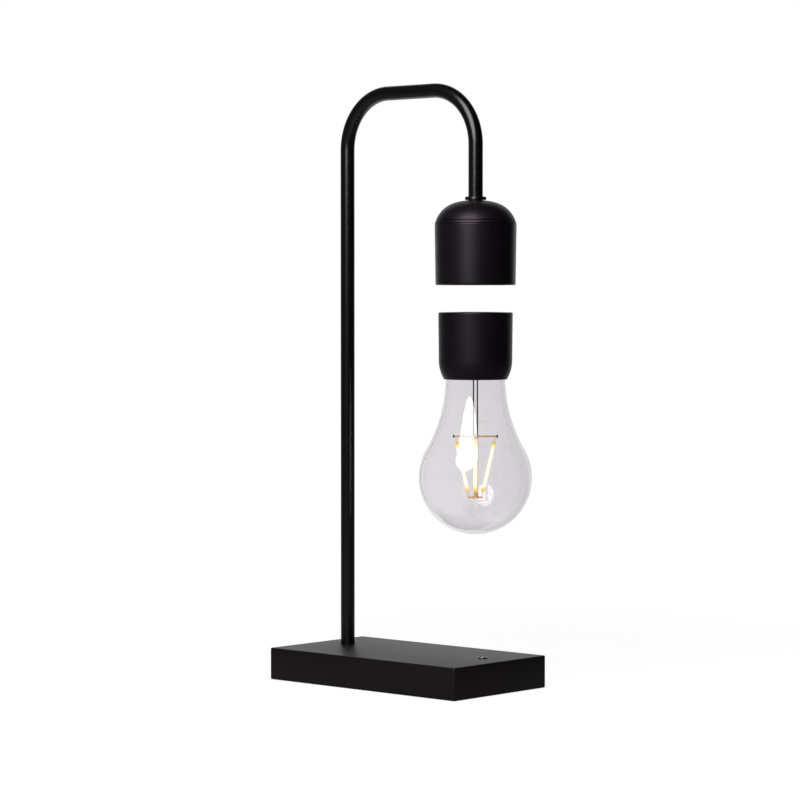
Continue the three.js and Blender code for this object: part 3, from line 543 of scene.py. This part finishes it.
def makeBaseShell(look):
    lowest, highest = low("base_shell"), high("base_shell")
    size = highest - lowest
    deselectAll()
    bpy.ops.mesh.primitive_cube_add(size=mm, location=middleOf("base_shell") * mm, scale=size)
    piece = bpy.context.object
    piece.name = "baseShell"
    applyPlace(piece)
    bpy.ops.object.mode_set(mode="EDIT")
    selectEdges(piece, lambda a, b: abs(a.z - b.z) > mm)  # upright
    bpy.ops.mesh.bevel(offset=look["cornerRadius"] * mm, segments=look["roundSteps"], profile=0.5)
    selectEdges(piece, lambda a, b: abs(a.z - b.z) < mm / 10)  # level
    bpy.ops.mesh.bevel(offset=look["edgeRadius"] * mm, segments=look["roundSteps"], profile=0.5)
    bpy.ops.mesh.select_mode(type="FACE")
    selectFaces(piece, lambda face: face.normal.z < -0.999)  # the underside
    bpy.ops.mesh.inset(thickness=(look["wall"] - look["edgeRadius"]) * mm)
    rise = (size.z - look["roof"]) * mm
    bpy.ops.mesh.extrude_region_move(TRANSFORM_OT_translate={"value": (0, 0, rise)})
    closeShell()
    bpy.ops.object.mode_set(mode="OBJECT")
    inlet = middleOf("power_jack")
    cutLength = 4 * look["wall"]
    for radius, place, upright in (
        (look["tubeHole"], (postX, headAxis.y, highest.z), True),
        (look["buttonHole"], (buttonAxis.x, buttonAxis.y, highest.z), True),
        (look["inletHole"], (inlet.x, highest.y, inlet.z), False),
    ):
        cutWith(piece, holeCutter(radius, place, cutLength, look["holeSides"], upright))
    piece = joined("baseShell", [piece, *makeBosses(look, highest.z - look["roof"])])
    selectOnly(piece)
    bpy.ops.object.shade_smooth_by_angle(angle=math.radians(look["smooth"]))
    finishPiece(piece, softCoatedAbs, "stand", "soft_black_plastic", "base_shell")


makeBaseShell(baseShell)

# Arm: one bent tube, drawn along its path by extruding and spinning its round section

armTube = {
    "wall": 1.2,
    "bendRadius": 40,
    "sides": 48,
    "bendSteps": 40,
    "tail": 1.2,  # past the lock nut
    "smooth": 35,
}


def makeArmTube(look):
    lowest, highest = low("arm_tube"), high("arm_tube")
    radius = (highest.y - lowest.y) / 2
    level = highest.z - radius
    bend = look["bendRadius"]
    deselectAll()
    bpy.ops.mesh.primitive_circle_add(
        vertices=look["sides"], radius=radius * mm,
        location=(postX * mm, headAxis.y * mm, lowest.z * mm),
    )
    piece = bpy.context.object
    piece.name = "armTube"
    bpy.ops.object.mode_set(mode="EDIT")
    bpy.ops.mesh.select_mode(type="VERT")
    bpy.ops.mesh.select_all(action="SELECT")
    rise = (level - bend - lowest.z) * mm
    bpy.ops.mesh.extrude_region_move(TRANSFORM_OT_translate={"value": (0, 0, rise)})
    bpy.ops.mesh.spin(
        steps=look["bendSteps"], angle=quarterTurn, axis=(0, -1, 0),
        center=((postX + bend) * mm, headAxis.y * mm, (level - bend) * mm),
    )
    across = (headAxis.x - postX - 2 * bend) * mm
    bpy.ops.mesh.extrude_region_move(TRANSFORM_OT_translate={"value": (across, 0, 0)})
    bpy.ops.mesh.spin(
        steps=look["bendSteps"], angle=quarterTurn, axis=(0, -1, 0),
        center=((headAxis.x - bend) * mm, headAxis.y * mm, (level - bend) * mm),
    )
    drop = (low("head_lock_nut").z - look["tail"] - (level - bend)) * mm
    bpy.ops.mesh.extrude_region_move(TRANSFORM_OT_translate={"value": (0, 0, drop)})
    closeShell()
    bpy.ops.object.mode_set(mode="OBJECT")
    wall = piece.modifiers.new("wall", "SOLIDIFY")
    wall.thickness = look["wall"] * mm
    wall.offset = -1
    applyModifiers(piece)
    bpy.ops.object.shade_smooth_by_angle(angle=math.radians(look["smooth"]))
    finishPiece(piece, powderCoat, "stand", "painted_tube", "arm_tube")


makeArmTube(armTube)

# Magnet head: collar, dome, ring, skirt and bottom plate, all turned, with fine chamfers along
# the seams. Three posts under the dome's ceiling hold the magnet's yoke.

magnetHead = {
    "sides": 128,
    "smooth": 30,
    "seamRadius": 29.2,  # at the seam under the ring
    "footRadius": 28.6,
    "wall": 2.2,
    "seamChamfer": 0.25,
    "seamGap": 0.15,
    "ringInner": 25.6,
    "upstandWall": 1.2,
    "upstandHeight": 0.6,
    "spigotHeight": 6,
    "spigotRadius": 26.6,
    "crownRadius": 29.1,
    "crownLean": math.radians(16),
    "crownFoot": 7.4925,  # length of the curve's lower handle
    "crownTop": 17.46,  # length of its upper handle
    "crownFlat": 3.6375,  # where the curve ends, on the flat top
    "crownSteps": 28,
    "crownFine": 8,  # parts of each step, from which the points are picked
    "crownShort": 40,  # a run of fewer parts than this gets steps half as long
    "ceiling": 3,
    "screws": 3,
    "postRadius": 3,
    "postBore": 1.8,
    "postReach": 0.1,  # into the ceiling
    "tubeHole": 5.5,
    "collarRadius": 7.65,
    "collarEdge": 0.5,
    "collarSides": 96,
    "collarSteps": 5,
    "plateEdge": 1,
    "plateSteps": 6,
    "plateSeam": 0.05,
    "plateFloor": 2,
    "plateSpigot": 26.1,
    "plateSpigotHeight": 2.2,
    "plateBore": 25.1,
}


# Points of the crown's curve between two levels, with its skin taken off
def crownPoints(look, skin, bottom, top):
    footX = look["crownRadius"] - skin
    lean = look["crownLean"]
    foot = skirtTop + look["seamGap"]
    curve = bezierPoints(
        ((footX, foot), (look["crownFlat"], headTop - skin)),
        (
            (footX - look["crownFoot"] * math.sin(lean), foot + look["crownFoot"] * math.cos(lean)),
            (look["crownFlat"] + look["crownTop"], headTop - skin),
        ),
        look["crownSteps"] * look["crownFine"],
    )
    hole = look["tubeHole"]
    inside = [point for point in curve if bottom <= point[1] <= top and point[0] >= hole]
    stride = look["crownFine"] if len(inside) > look["crownShort"] else look["crownFine"] // 2
    return inside[:1] + inside[stride:-1:stride] + inside[-1:]


def makeDome(look):
    chamfer = look["seamChamfer"]
    domeBottom = high("head_ring").z - look["upstandHeight"] + look["seamGap"]
    ceilingLevel = headTop - look["ceiling"]
    outer = crownPoints(look, 0, domeBottom + chamfer, headTop)
    inner = crownPoints(look, look["wall"], domeBottom + 3 * look["upstandHeight"], ceilingLevel)
    rebate = look["ringInner"] + look["upstandWall"] + 2 * look["seamGap"]
    outline = [(rebate, domeBottom), (outer[0][0] - chamfer, domeBottom), *outer]
    outline += [(look["tubeHole"], headTop), (look["tubeHole"], ceilingLevel)]
    outline += list(reversed(inner)) + [(rebate, inner[0][1]), (rebate, domeBottom)]
    pieces = [turnedPiece("headDome", headAxis, outline, look["sides"], look["smooth"])]
    foot = low("head_dome").z
    top = ceilingLevel + look["postReach"]
    for index in range(1, look["screws"] + 1):
        middle = middleOf(f"head_screw_{index}")
        pieces.append(bossOn(middle, look["postRadius"], look["postBore"], foot, top))
    dome = joined("headDome", pieces)
    finishPiece(dome, mattAbs, "stand", "satin_black_plastic", "head_dome")


def makeRing(look):
    chamfer = look["seamChamfer"]
    ringBottom = skirtTop + look["seamGap"]
    upstandTop = high("head_ring").z
    ringTop = upstandTop - look["upstandHeight"]
    band = crownPoints(look, 0, ringBottom + chamfer, ringTop - chamfer)
    upstand = look["ringInner"] + look["upstandWall"]
    spigotBottom = ringBottom - look["spigotHeight"]
    outline = [(look["spigotRadius"], ringBottom), (band[0][0] - chamfer, ringBottom), *band]
    outline += [(band[-1][0] - chamfer, ringTop), (upstand, ringTop), (upstand, upstandTop)]
    outline += [(look["ringInner"], upstandTop), (look["ringInner"], spigotBottom)]
    outline += [(look["spigotRadius"], spigotBottom), (look["spigotRadius"], ringBottom)]
    ring = turnedPiece("headRing", headAxis, outline, look["sides"], look["smooth"])
    finishPiece(ring, mattAbs, "stand", "satin_black_plastic", "head_ring")


def makeSkirt(look):
    chamfer = look["seamChamfer"]
    seam = look["seamRadius"]
    foot = look["footRadius"]
    outline = [
        (foot - look["wall"], skirtBottom), (foot - look["plateSeam"], skirtBottom),
        (foot, skirtBottom + look["plateSeam"]), (seam, skirtTop - 2 * chamfer),
        (seam - 0.3 * chamfer, skirtTop - chamfer), (seam - 1.5 * chamfer, skirtTop),
        (seam - look["wall"], skirtTop), (foot - look["wall"], skirtBottom),
    ]
    skirt = turnedPiece("headShell", headAxis, outline, look["sides"], look["smooth"])
    finishPiece(skirt, satinAbs, "stand", "satin_black_plastic", "head_shell")


def makePlate(look):
    bottom = low("head_plate").z
    seam = look["plateSeam"]
    plateTop = skirtBottom - seam
    edge = look["plateEdge"]
    foot = look["footRadius"]
    outline = [(0, bottom)]
    outline += arcPoints((foot - edge, bottom + edge), edge, -quarterTurn, 0, look["plateSteps"])
    outline += [(foot, plateTop - seam), (foot - seam, plateTop), (look["plateSpigot"], plateTop)]
    outline += [(look["plateSpigot"], plateTop + look["plateSpigotHeight"])]
    outline += [(look["plateBore"], plateTop + look["plateSpigotHeight"])]
    outline += [(look["plateBore"], bottom + look["plateFloor"]), (0, bottom + look["plateFloor"])]
    plate = turnedPiece("headPlate", headAxis, outline, look["sides"], look["smooth"])
    finishPiece(plate, satinAbs, "stand", "satin_black_plastic", "head_plate")


def makeCollar(look):
    bottom, top = low("head_collar").z, high("head_collar").z
    edge = look["collarEdge"]
    reach = look["collarRadius"]
    outline = [(look["tubeHole"], bottom), (reach - edge / 2, bottom), (reach, bottom + edge / 2)]
    outline += arcPoints((reach - edge, top - edge), edge, 0, quarterTurn, look["collarSteps"])
    outline += [(look["tubeHole"], top), (look["tubeHole"], bottom)]
    collar = turnedPiece("headCollar", headAxis, outline, look["collarSides"], look["smooth"])
    finishPiece(collar, blackLacquer, "stand", "collar_paint", "head_collar")


makeDome(magnetHead)
makeRing(magnetHead)
makeSkirt(magnetHead)
makePlate(magnetHead)
makeCollar(magnetHead)

# Floating cap: a thin shell with a rounded rim, and its lid

floatingCap = {
    "sides": 128,
    "smooth": 30,
    "radius": 26.55,
    "waistInset": 0.35,
    "edgeRadius": 1,
    "edgeSteps": 6,
    "wall": 1.6,
    "rimHeight": 13.7,
    "rimInset": 3.8,
    "rimSteps": 20,
    "rimMouth": 21.65,
    "mouthSteps": 16,
    "rimEdge": 0.3,
    "lidRadius": 24.65,
    "lidThickness": 2,
    "lidEdge": 0.3,
    "lidSkirtHeight": 4,
    "lidSkirtWall": 1.3,
    "lidSteps": 6,
}


def makeCap(look):
    waist = look["radius"] - look["waistInset"]
    rimRadius = (look["rimHeight"] ** 2 + look["rimInset"] ** 2) / (2 * look["rimInset"])
    rimX = waist - rimRadius
    rimTop = cupRim + look["rimHeight"]
    foot = math.asin(look["rimHeight"] / rimRadius)
    rim = arcPoints((rimX, rimTop), rimRadius, -foot, 0, look["rimSteps"])
    innerRadius = rimRadius - look["wall"]
    mouthAngle = math.acos((look["rimMouth"] - rimX) / innerRadius)
    inside = arcPoints((rimX, rimTop), innerRadius, 0, -mouthAngle, look["mouthSteps"])
    edgeRadius = look["edgeRadius"]
    edgeMiddle = (look["radius"] - edgeRadius, cupTop - edgeRadius)
    edge = arcPoints(edgeMiddle, edgeRadius, 0, quarterTurn, look["edgeSteps"])
    lidSeat = look["radius"] - look["wall"]
    small = look["rimEdge"]
    outline = [(look["rimMouth"], cupRim + small), (look["rimMouth"] + small / 2, cupRim)]
    outline += [(rim[0][0] - small, cupRim), (rim[0][0] + small / 3, cupRim + small / 2), *rim[1:]]
    outline += edge + [(lidSeat + small, cupTop), (lidSeat, cupTop - small)]
    outline += inside + [(look["rimMouth"], cupRim + small)]
    shell = turnedPiece("capShell", headAxis, outline, look["sides"], look["smooth"])
    finishPiece(shell, mattAbs, "floating_bulb", "matte_black_plastic", "cup_shell")

    lidBottom = cupTop - look["lidThickness"]
    small = look["lidEdge"]
    reach = look["lidRadius"]
    skirt = reach - look["lidSkirtWall"]
    rise = high("cup_lid").z - cupTop
    domeRadius = (reach ** 2 + rise ** 2) / (2 * rise)
    lean = math.asin((reach - small) / domeRadius)
    outline = [
        (0, lidBottom), (skirt, lidBottom), (skirt, lidBottom - look["lidSkirtHeight"]),
        (reach, lidBottom - look["lidSkirtHeight"]), (reach, cupTop - small),
    ]
    domeMiddle = (0, cupTop + rise - domeRadius)
    outline += arcPoints(domeMiddle, domeRadius, quarterTurn - lean, quarterTurn, look["lidSteps"])
    lid = turnedPiece("capLid", headAxis, outline, look["sides"], look["smooth"])
    finishPiece(lid, mattAbs, "floating_bulb", "matte_black_plastic", "cup_lid")


makeCap(floatingCap)

# Bulb: thin clear glass, with its neck inside the cap

glassBulb = {
    "sides": 160,
    "smooth": 80,
    "radius": 40.5,
    "neckRadius": 21.35,
    "drop": 70.2,  # from the cap's rim down to the middle of the round part
    "wall": 0.5,
    "neckRise": 12.4,
    "shoulder": math.radians(29.6),
    "shoulderHandle": 0.325,  # lengths of the curve's handles, over the neck's drop
    "neckHandle": 0.355,
    "roundSteps": 56,
    "shoulderSteps": 36,
    "lip": 0.4,
}


def glassOutline(look, skin):
    middle = cupRim - look["drop"]
    radius = look["radius"] - skin
    shoulder = look["shoulder"]
    outline = arcPoints((0, middle), radius, -quarterTurn, shoulder, look["roundSteps"])
    start = outline[-1]
    neckX = look["neckRadius"] - skin
    drop = cupRim - start[1]
    handle = drop * look["shoulderHandle"]
    curve = bezierPoints(
        (start, (neckX, cupRim)),
        (
            (start[0] - handle * math.sin(shoulder), start[1] + handle * math.cos(shoulder)),
            (neckX, cupRim - drop * look["neckHandle"]),
        ),
        look["shoulderSteps"],
    )
    return outline + curve[1:]


def makeGlass(look):
    top = cupRim + look["neckRise"]
    lip = look["lip"]
    neck = look["neckRadius"]
    wall = look["wall"]
    outer = glassOutline(look, 0)
    inner = glassOutline(look, wall)
    outer[0] = (0, outer[0][1])
    inner[0] = (0, inner[0][1])
    outline = outer + [(neck, top - lip), (neck - wall / 2, top)]
    outline += [(neck - wall, top - lip)] + list(reversed(inner))
    glass = turnedPiece("bulbGlass", headAxis, outline, look["sides"], look["smooth"])
    finishPiece(glass, glassMaterial, "floating_bulb", "bulb_glass", "bulb_glass")


makeGlass(glassBulb)

# Inside the bulb: two lead wires, two crosses of folded strip, and four filaments between them.
# Blocks are placed with x away from the axis and z up.

bulbInside = {
    "turn": math.radians(42),  # how far the bulb is turned about its axis
    "smooth": 40,
    "leadRadius": 0.5,
    "leadSides": 24,
    "leadTip": 0.2,
    "leadOffset": 1.4,
    "barWidth": 1.8,
    "barHeight": 1.1,
    "barEdge": 0.25,
    "upperReach": 16.1,
    "lowerReach": 5.4,
    "hubRadius": 2.6,
    "hubHeight": 1.4,
    "hubEdge": 0.35,
    "hubSides": 48,
    "hubSteps": 8,
    "clip": (1.2, 2.4, 1.9),
    "clipEdge": 0.3,
    "filaments": 4,
    "footRadius": 4.7,
    "headRadius": 14.2,
    "footDrop": 83.35,  # from the cap's rim
    "headDrop": 41.55,
    "tab": (0.35, 1.8, 3.1),
    "tabEdge": 0.12,
    "strip": (2.3, 2.4),
    "stripEdge": 0.8,
    "stripGap": 0.1,  # between its end and the tab
    "endCap": (2.7, 2.8, 2.8),
    "endCapEdge": 0.6,
    "edgeSteps": 4,
}


def bevelledBlock(size, middle, edge, steps):
    deselectAll()
    bpy.ops.mesh.primitive_cube_add(size=mm, location=Vector(middle) * mm, scale=size)
    block = bpy.context.object
    applyPlace(block)
    bpy.ops.object.mode_set(mode="EDIT")
    bpy.ops.mesh.select_mode(type="EDGE")
    bpy.ops.mesh.select_all(action="SELECT")
    bpy.ops.mesh.bevel(offset=edge * mm, segments=steps, profile=0.5)
    closeShell()
    bpy.ops.object.mode_set(mode="OBJECT")
    bpy.ops.object.shade_smooth_by_angle(angle=math.radians(35))
    return block


# Turns a piece about the vertical, away from the x axis, and moves it onto the lamp's axis
def placeAround(piece, turn):
    onAxis = Matrix.Translation((headAxis.x * mm, headAxis.y * mm, 0))
    piece.matrix_world = onAxis @ Matrix.Rotation(turn, 4, "Z") @ piece.matrix_world
    applyPlace(piece)


def makeLead(look, name, side, bottom, top, material, slot, node):
    turn = look["turn"]
    offset = Vector((math.cos(turn), math.sin(turn), 0)) * look["leadOffset"] * side
    radius = look["leadRadius"]
    tip = look["leadTip"]
    outline = [(0, bottom), (radius - tip, bottom), (radius, bottom + tip), (radius, top), (0, top)]
    lead = turnedPiece(name, headAxis + offset, outline, look["leadSides"], look["smooth"])
    finishPiece(lead, material, "floating_bulb", slot, node)


def makeCross(look, name, node, reach):
    level = (low(node).z + high(node).z) / 2
    half = look["hubHeight"] / 2
    edge = look["hubEdge"]
    outline = [(0, level - half), (look["hubRadius"] - edge, level - half)]
    edgeMiddle = (look["hubRadius"] - edge, level)
    outline += arcPoints(edgeMiddle, half, -quarterTurn, quarterTurn, look["hubSteps"])
    outline += [(0, level + half)]
    pieces = [turnedPiece("hub", headAxis, outline, look["hubSides"], look["smooth"])]
    start = look["hubRadius"] / 2
    for index in range(look["filaments"]):
        size = (reach - start, look["barWidth"], look["barHeight"])
        middle = ((start + reach) / 2, 0, level)
        bar = bevelledBlock(size, middle, look["barEdge"], look["edgeSteps"])
        placeAround(bar, look["turn"] + fullTurn * index / look["filaments"])
        pieces.append(bar)
    finishPiece(joined(name, pieces), dulledBrass, "floating_bulb", "gold_wire", node)


def makeClips(look, name, node, reach):
    level = (low(node).z + high(node).z) / 2
    clips = []
    for index in range(look["filaments"]):
        middle = (reach - look["clip"][0] / 2, 0, level)
        clip = bevelledBlock(look["clip"], middle, look["clipEdge"], look["edgeSteps"])
        placeAround(clip, look["turn"] + fullTurn * index / look["filaments"])
        clips.append(clip)
    finishPiece(joined(name, clips), oxidisedNickel, "floating_bulb", "lead_wire", node)


def makeFilaments(look):
    foot = Vector((look["footRadius"], 0, cupRim - look["footDrop"]))
    head = Vector((look["headRadius"], 0, cupRim - look["headDrop"]))
    length = (head - foot).length
    lean = math.atan2(head.x - foot.x, head.z - foot.z)
    upright = Matrix.Translation(foot * mm) @ Matrix.Rotation(lean, 4, "Y")
    tabLength, capLength = look["tab"][2], look["endCap"][2]
    coatFoot = foot.z + tabLength * math.cos(lean)
    coatHead = head.z - tabLength * math.cos(lean)
    phosphor = litPhosphor(glowingStrip, coatFoot * mm, coatHead * mm)
    strip = (*look["strip"], length - 2 * tabLength - 2 * look["stripGap"])
    steps = look["edgeSteps"]
    for index in range(1, look["filaments"] + 1):
        coat = [bevelledBlock(strip, (0, 0, length / 2), look["stripEdge"], steps)]
        for level in (tabLength + capLength / 2, length - tabLength - capLength / 2):
            coat.append(bevelledBlock(look["endCap"], (0, 0, level), look["endCapEdge"], steps))
        tabs = []
        for level in (tabLength / 2, length - tabLength / 2):
            tabs.append(bevelledBlock(look["tab"], (0, 0, level), look["tabEdge"], steps))
        body = joined(f"filament{index}", coat)
        ends = joined(f"filamentTabs{index}", tabs)
        for piece in (body, ends):
            piece.matrix_world = upright @ piece.matrix_world
            placeAround(piece, look["turn"] + fullTurn * (index - 1) / look["filaments"])
        finishPiece(body, phosphor, "floating_bulb", "filament", f"filament_{index}")
        finishPiece(ends, dulledBrass, "floating_bulb", "gold_wire")


leadTop = high("lead_wire_long").z
leadEnd = low("lead_wire_short").z
leadFoot = low("lead_wire_long").z
for name, side, bottom, top, material, slot, node in (
    ("leadShort", -1, leadEnd, leadTop, oxidisedNickel, "lead_wire", "lead_wire_short"),
    ("leadLong", 1, leadEnd, leadTop, oxidisedNickel, "lead_wire", "lead_wire_long"),
    ("leadFoot", 1, leadFoot, leadEnd, dulledBrass, "gold_wire", "lead_wire_long"),
):
    makeLead(bulbInside, name, side, bottom, top, material, slot, node)
makeCross(bulbInside, "upperCross", "upper_cross", bulbInside["upperReach"])
makeClips(bulbInside, "upperClips", "upper_cross", bulbInside["upperReach"])
makeCross(bulbInside, "lowerCross", "lower_cross", bulbInside["lowerReach"])
makeFilaments(bulbInside)

# Button: a low round cap with a dished top and a bright ring around it

pushButton = {
    "sides": 72,
    "smooth": 40,
    "radius": 3.8,
    "edge": 0.4,
    "edgeSteps": 5,
    "dish": 0.25,
    "dishShoulder": 0.7,  # share of the dish's depth
    "rim": 0.7,
    "flange": 1.6,
    "flangeHeight": 1,
    "ringWidth": 0.5,
    "ringRise": 0.12,
    "ringSteps": 16,
}


def makeButton(look):
    bottom, top = low("power_button").z, high("power_button").z
    reach = look["radius"]
    edge = look["edge"]
    flange = reach + look["flange"]
    flangeTop = bottom + look["flangeHeight"]
    ringTop = top - look["ringRise"]
    dish = reach - look["rim"]
    depth = look["dish"]
    outline = [(0, bottom), (flange, bottom), (flange, flangeTop), (reach, flangeTop)]
    outline += arcPoints((reach - edge, ringTop - edge), edge, 0, quarterTurn, look["edgeSteps"])
    outline += [(dish, ringTop), (dish - depth, ringTop - depth * look["dishShoulder"])]
    outline += [(dish - 3 * depth, ringTop - depth), (0, ringTop - depth)]
    button = turnedPiece("powerButton", buttonAxis, outline, look["sides"], look["smooth"])
    finishPiece(button, blackLacquer, "button", "satin_black_plastic", "power_button")

    half = look["ringWidth"] / 2
    section = arcPoints((reach - edge, top - half), half, 0, fullTurn, look["ringSteps"])
    ring = turnedPiece("buttonRing", buttonAxis, section, look["sides"], look["smooth"])
    finishPiece(ring, nickelPlate, "button", "magnet_nickel")


makeButton(pushButton)

# Finishes of the CAD nodes that stay

carried = {
    "base_cover": filledNylon,
    "base_pad": siliconeRubber,
    "ballast_plate": zincSteel,
    "main_board": solderMask,
    "charge_coil": enamelledCopper,
    "charge_ferrite": sinteredFerrite,
    "power_jack": filledNylon,
    "switch_body": filledNylon,
    "switch_plunger": zincSteel,
    "arm_wire": siliconeRubber,
    "arm_washer": zincSteel,
    "arm_nut": zincSteel,
    "head_lock_nut": zincSteel,
    "power_coil": enamelledCopper,
    "sensor_board": solderMask,
    "magnet_bobbin": filledNylon,
    "magnet_core": zincSteel,
    "magnet_winding": enamelledCopper,
    "magnet_yoke": zincSteel,
    "lift_magnet": nickelPlate,
    "magnet_carrier": filledNylon,
    "receiver_coil": enamelledCopper,
    "driver_board": solderMask,
    "bulb_holder": filledNylon,
}
for index in range(1, baseShell["screws"] + 1):
    carried[f"cover_screw_{index}"] = zincSteel
for index in range(1, magnetHead["screws"] + 1):
    carried[f"head_screw_{index}"] = zincSteel
for node, material in carried.items():
    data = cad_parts[node].data
    data.materials.clear()
    data.materials.append(material)
print("carried nodes finished")

# Studio: one tall oval softbox in front on the left, a pale floor, and white behind the object

studio = {
    "aim": (60, 7, 200),  # millimetres, where the other lengths are metres
    "softboxTurn": math.radians(-71.5),
    "softboxRise": math.radians(40),
    "softboxDistance": 0.85,
    "softboxSize": (0.66, 0.86),
    "softboxPower": 9.5,
    "ambient": 0.13,
    "backdropTurn": math.radians(132.2),
    "backdropFade": (0.6, 0.85),  # from dark to full, as a cosine
    "backdropGlow": 0.8,
    "wallTurn": math.radians(222.2),
    "wallFade": (0, 0.9),
    "wallGlow": 0.07,
    "frontGlow": 0.005,
    "floorSize": 6,
    "floorSides": 96,
    "floorColour": "#8a8a8a",
    "floorNear": 0.3,
    "floorFar": 1.0,
    "floorWhite": 0.88,
}


def makeSoftbox(look):
    aim = Vector(look["aim"]) * mm
    turn, rise = look["softboxTurn"], look["softboxRise"]
    level = math.cos(rise)
    away = Vector((level * math.cos(turn), level * math.sin(turn), math.sin(rise)))
    facing = away.to_track_quat("Z", "Y").to_euler()
    deselectAll()
    bpy.ops.object.light_add(
        type="AREA", location=aim + away * look["softboxDistance"], rotation=facing,
    )
    softbox = bpy.context.object
    softbox.name = "softbox"
    softbox.data.shape = "ELLIPSE"
    softbox.data.size, softbox.data.size_y = look["softboxSize"]
    softbox.data.energy = look["softboxPower"]


# What a reflection shows in a direction: the pale backdrop behind the lamp, a dim wall on the left,
# and near black in front and on the right
def reflectedStudio(tree, direction, look):
    glows = []
    for turn, (start, end), dim, bright in (
        (look["backdropTurn"], look["backdropFade"], 0, look["backdropGlow"]),
        (look["wallTurn"], look["wallFade"], look["frontGlow"], look["wallGlow"]),
    ):
        facing = addNode(tree, "VectorMath", {
            0: direction, 1: (math.cos(turn), math.sin(turn), 0),
        }, operation="DOT_PRODUCT")
        glows.append(addNode(tree, "MapRange", {
            "Value": facing.outputs["Value"], "From Min": start, "From Max": end,
            "To Min": dim, "To Max": bright,
        }, interpolation_type="SMOOTHSTEP").outputs["Result"])
    path = addNode(tree, "LightPath")
    glow = addNode(tree, "Math", {0: glows[0], 1: glows[1]}, operation="MAXIMUM")
    return addNode(tree, "Math", {
        0: path.outputs["Is Glossy Ray"], 1: glow.outputs[0],
    }, operation="MULTIPLY").outputs[0]


# White to the camera and through glass
def seenDirectly(tree):
    path = addNode(tree, "LightPath")
    return addNode(tree, "Math", {
        0: path.outputs["Is Camera Ray"], 1: path.outputs["Is Transmission Ray"],
    }, operation="MAXIMUM").outputs[0]


def makeWorld(look):
    world = bpy.data.worlds.new("studioWorld")
    bpy.context.scene.world = world
    world.use_nodes = True
    tree = world.node_tree
    tree.nodes.clear()
    direction = addNode(tree, "TexCoord").outputs["Generated"]
    shown = addNode(tree, "Math", {
        0: seenDirectly(tree), 1: reflectedStudio(tree, direction, look),
    }, operation="MAXIMUM")
    path = addNode(tree, "LightPath")
    light = addNode(tree, "Math", {
        0: path.outputs["Is Diffuse Ray"], 1: look["ambient"],
    }, operation="MULTIPLY")
    strength = addNode(tree, "Math", {
        0: shown.outputs[0], 1: light.outputs[0],
    }, operation="MAXIMUM")
    background = addNode(tree, "Background", {
        "Color": (1, 1, 1, 1), "Strength": strength.outputs[0],
    })
    addNode(tree, "OutputWorld", {"Surface": background.outputs[0]})


# Pale floor that glows white to the camera far out, and near the lamp shows its soft shadow
def makeFloor(look):
    material, tree = startMaterial("paleFloor")
    place = addNode(tree, "TexCoord").outputs["Object"]
    distance = addNode(tree, "VectorMath", {0: place}, operation="LENGTH")
    glow = addNode(tree, "MapRange", {
        "Value": distance.outputs["Value"],
        "From Min": look["floorNear"], "From Max": look["floorFar"],
        "To Min": look["floorWhite"], "To Max": 1,
    }, interpolation_type="SMOOTHSTEP")
    direction = addNode(tree, "VectorMath", {0: place}, operation="NORMALIZE").outputs["Vector"]
    seen = addNode(tree, "Math", {
        0: seenDirectly(tree), 1: glow.outputs["Result"],
    }, operation="MULTIPLY")
    shown = addNode(tree, "Math", {
        0: seen.outputs[0], 1: reflectedStudio(tree, direction, look),
    }, operation="MAXIMUM")
    emission = addNode(tree, "Emission", {"Color": (1, 1, 1, 1), "Strength": shown.outputs[0]})
    board = addNode(tree, "BsdfDiffuse", {"Color": paint(look["floorColour"])})
    both = addNode(tree, "AddShader", {0: board.outputs[0], 1: emission.outputs[0]})
    endMaterial(tree, both)
    deselectAll()
    bpy.ops.mesh.primitive_circle_add(
        vertices=look["floorSides"], radius=look["floorSize"], fill_type="NGON", location=(0, 0, 0),
    )
    floor = bpy.context.object
    floor.name = "floor"
    floor.data.materials.append(material)


makeSoftbox(studio)
makeWorld(studio)
makeFloor(studio)
bpy.context.scene.view_settings.view_transform = "Standard"
print("studio made")
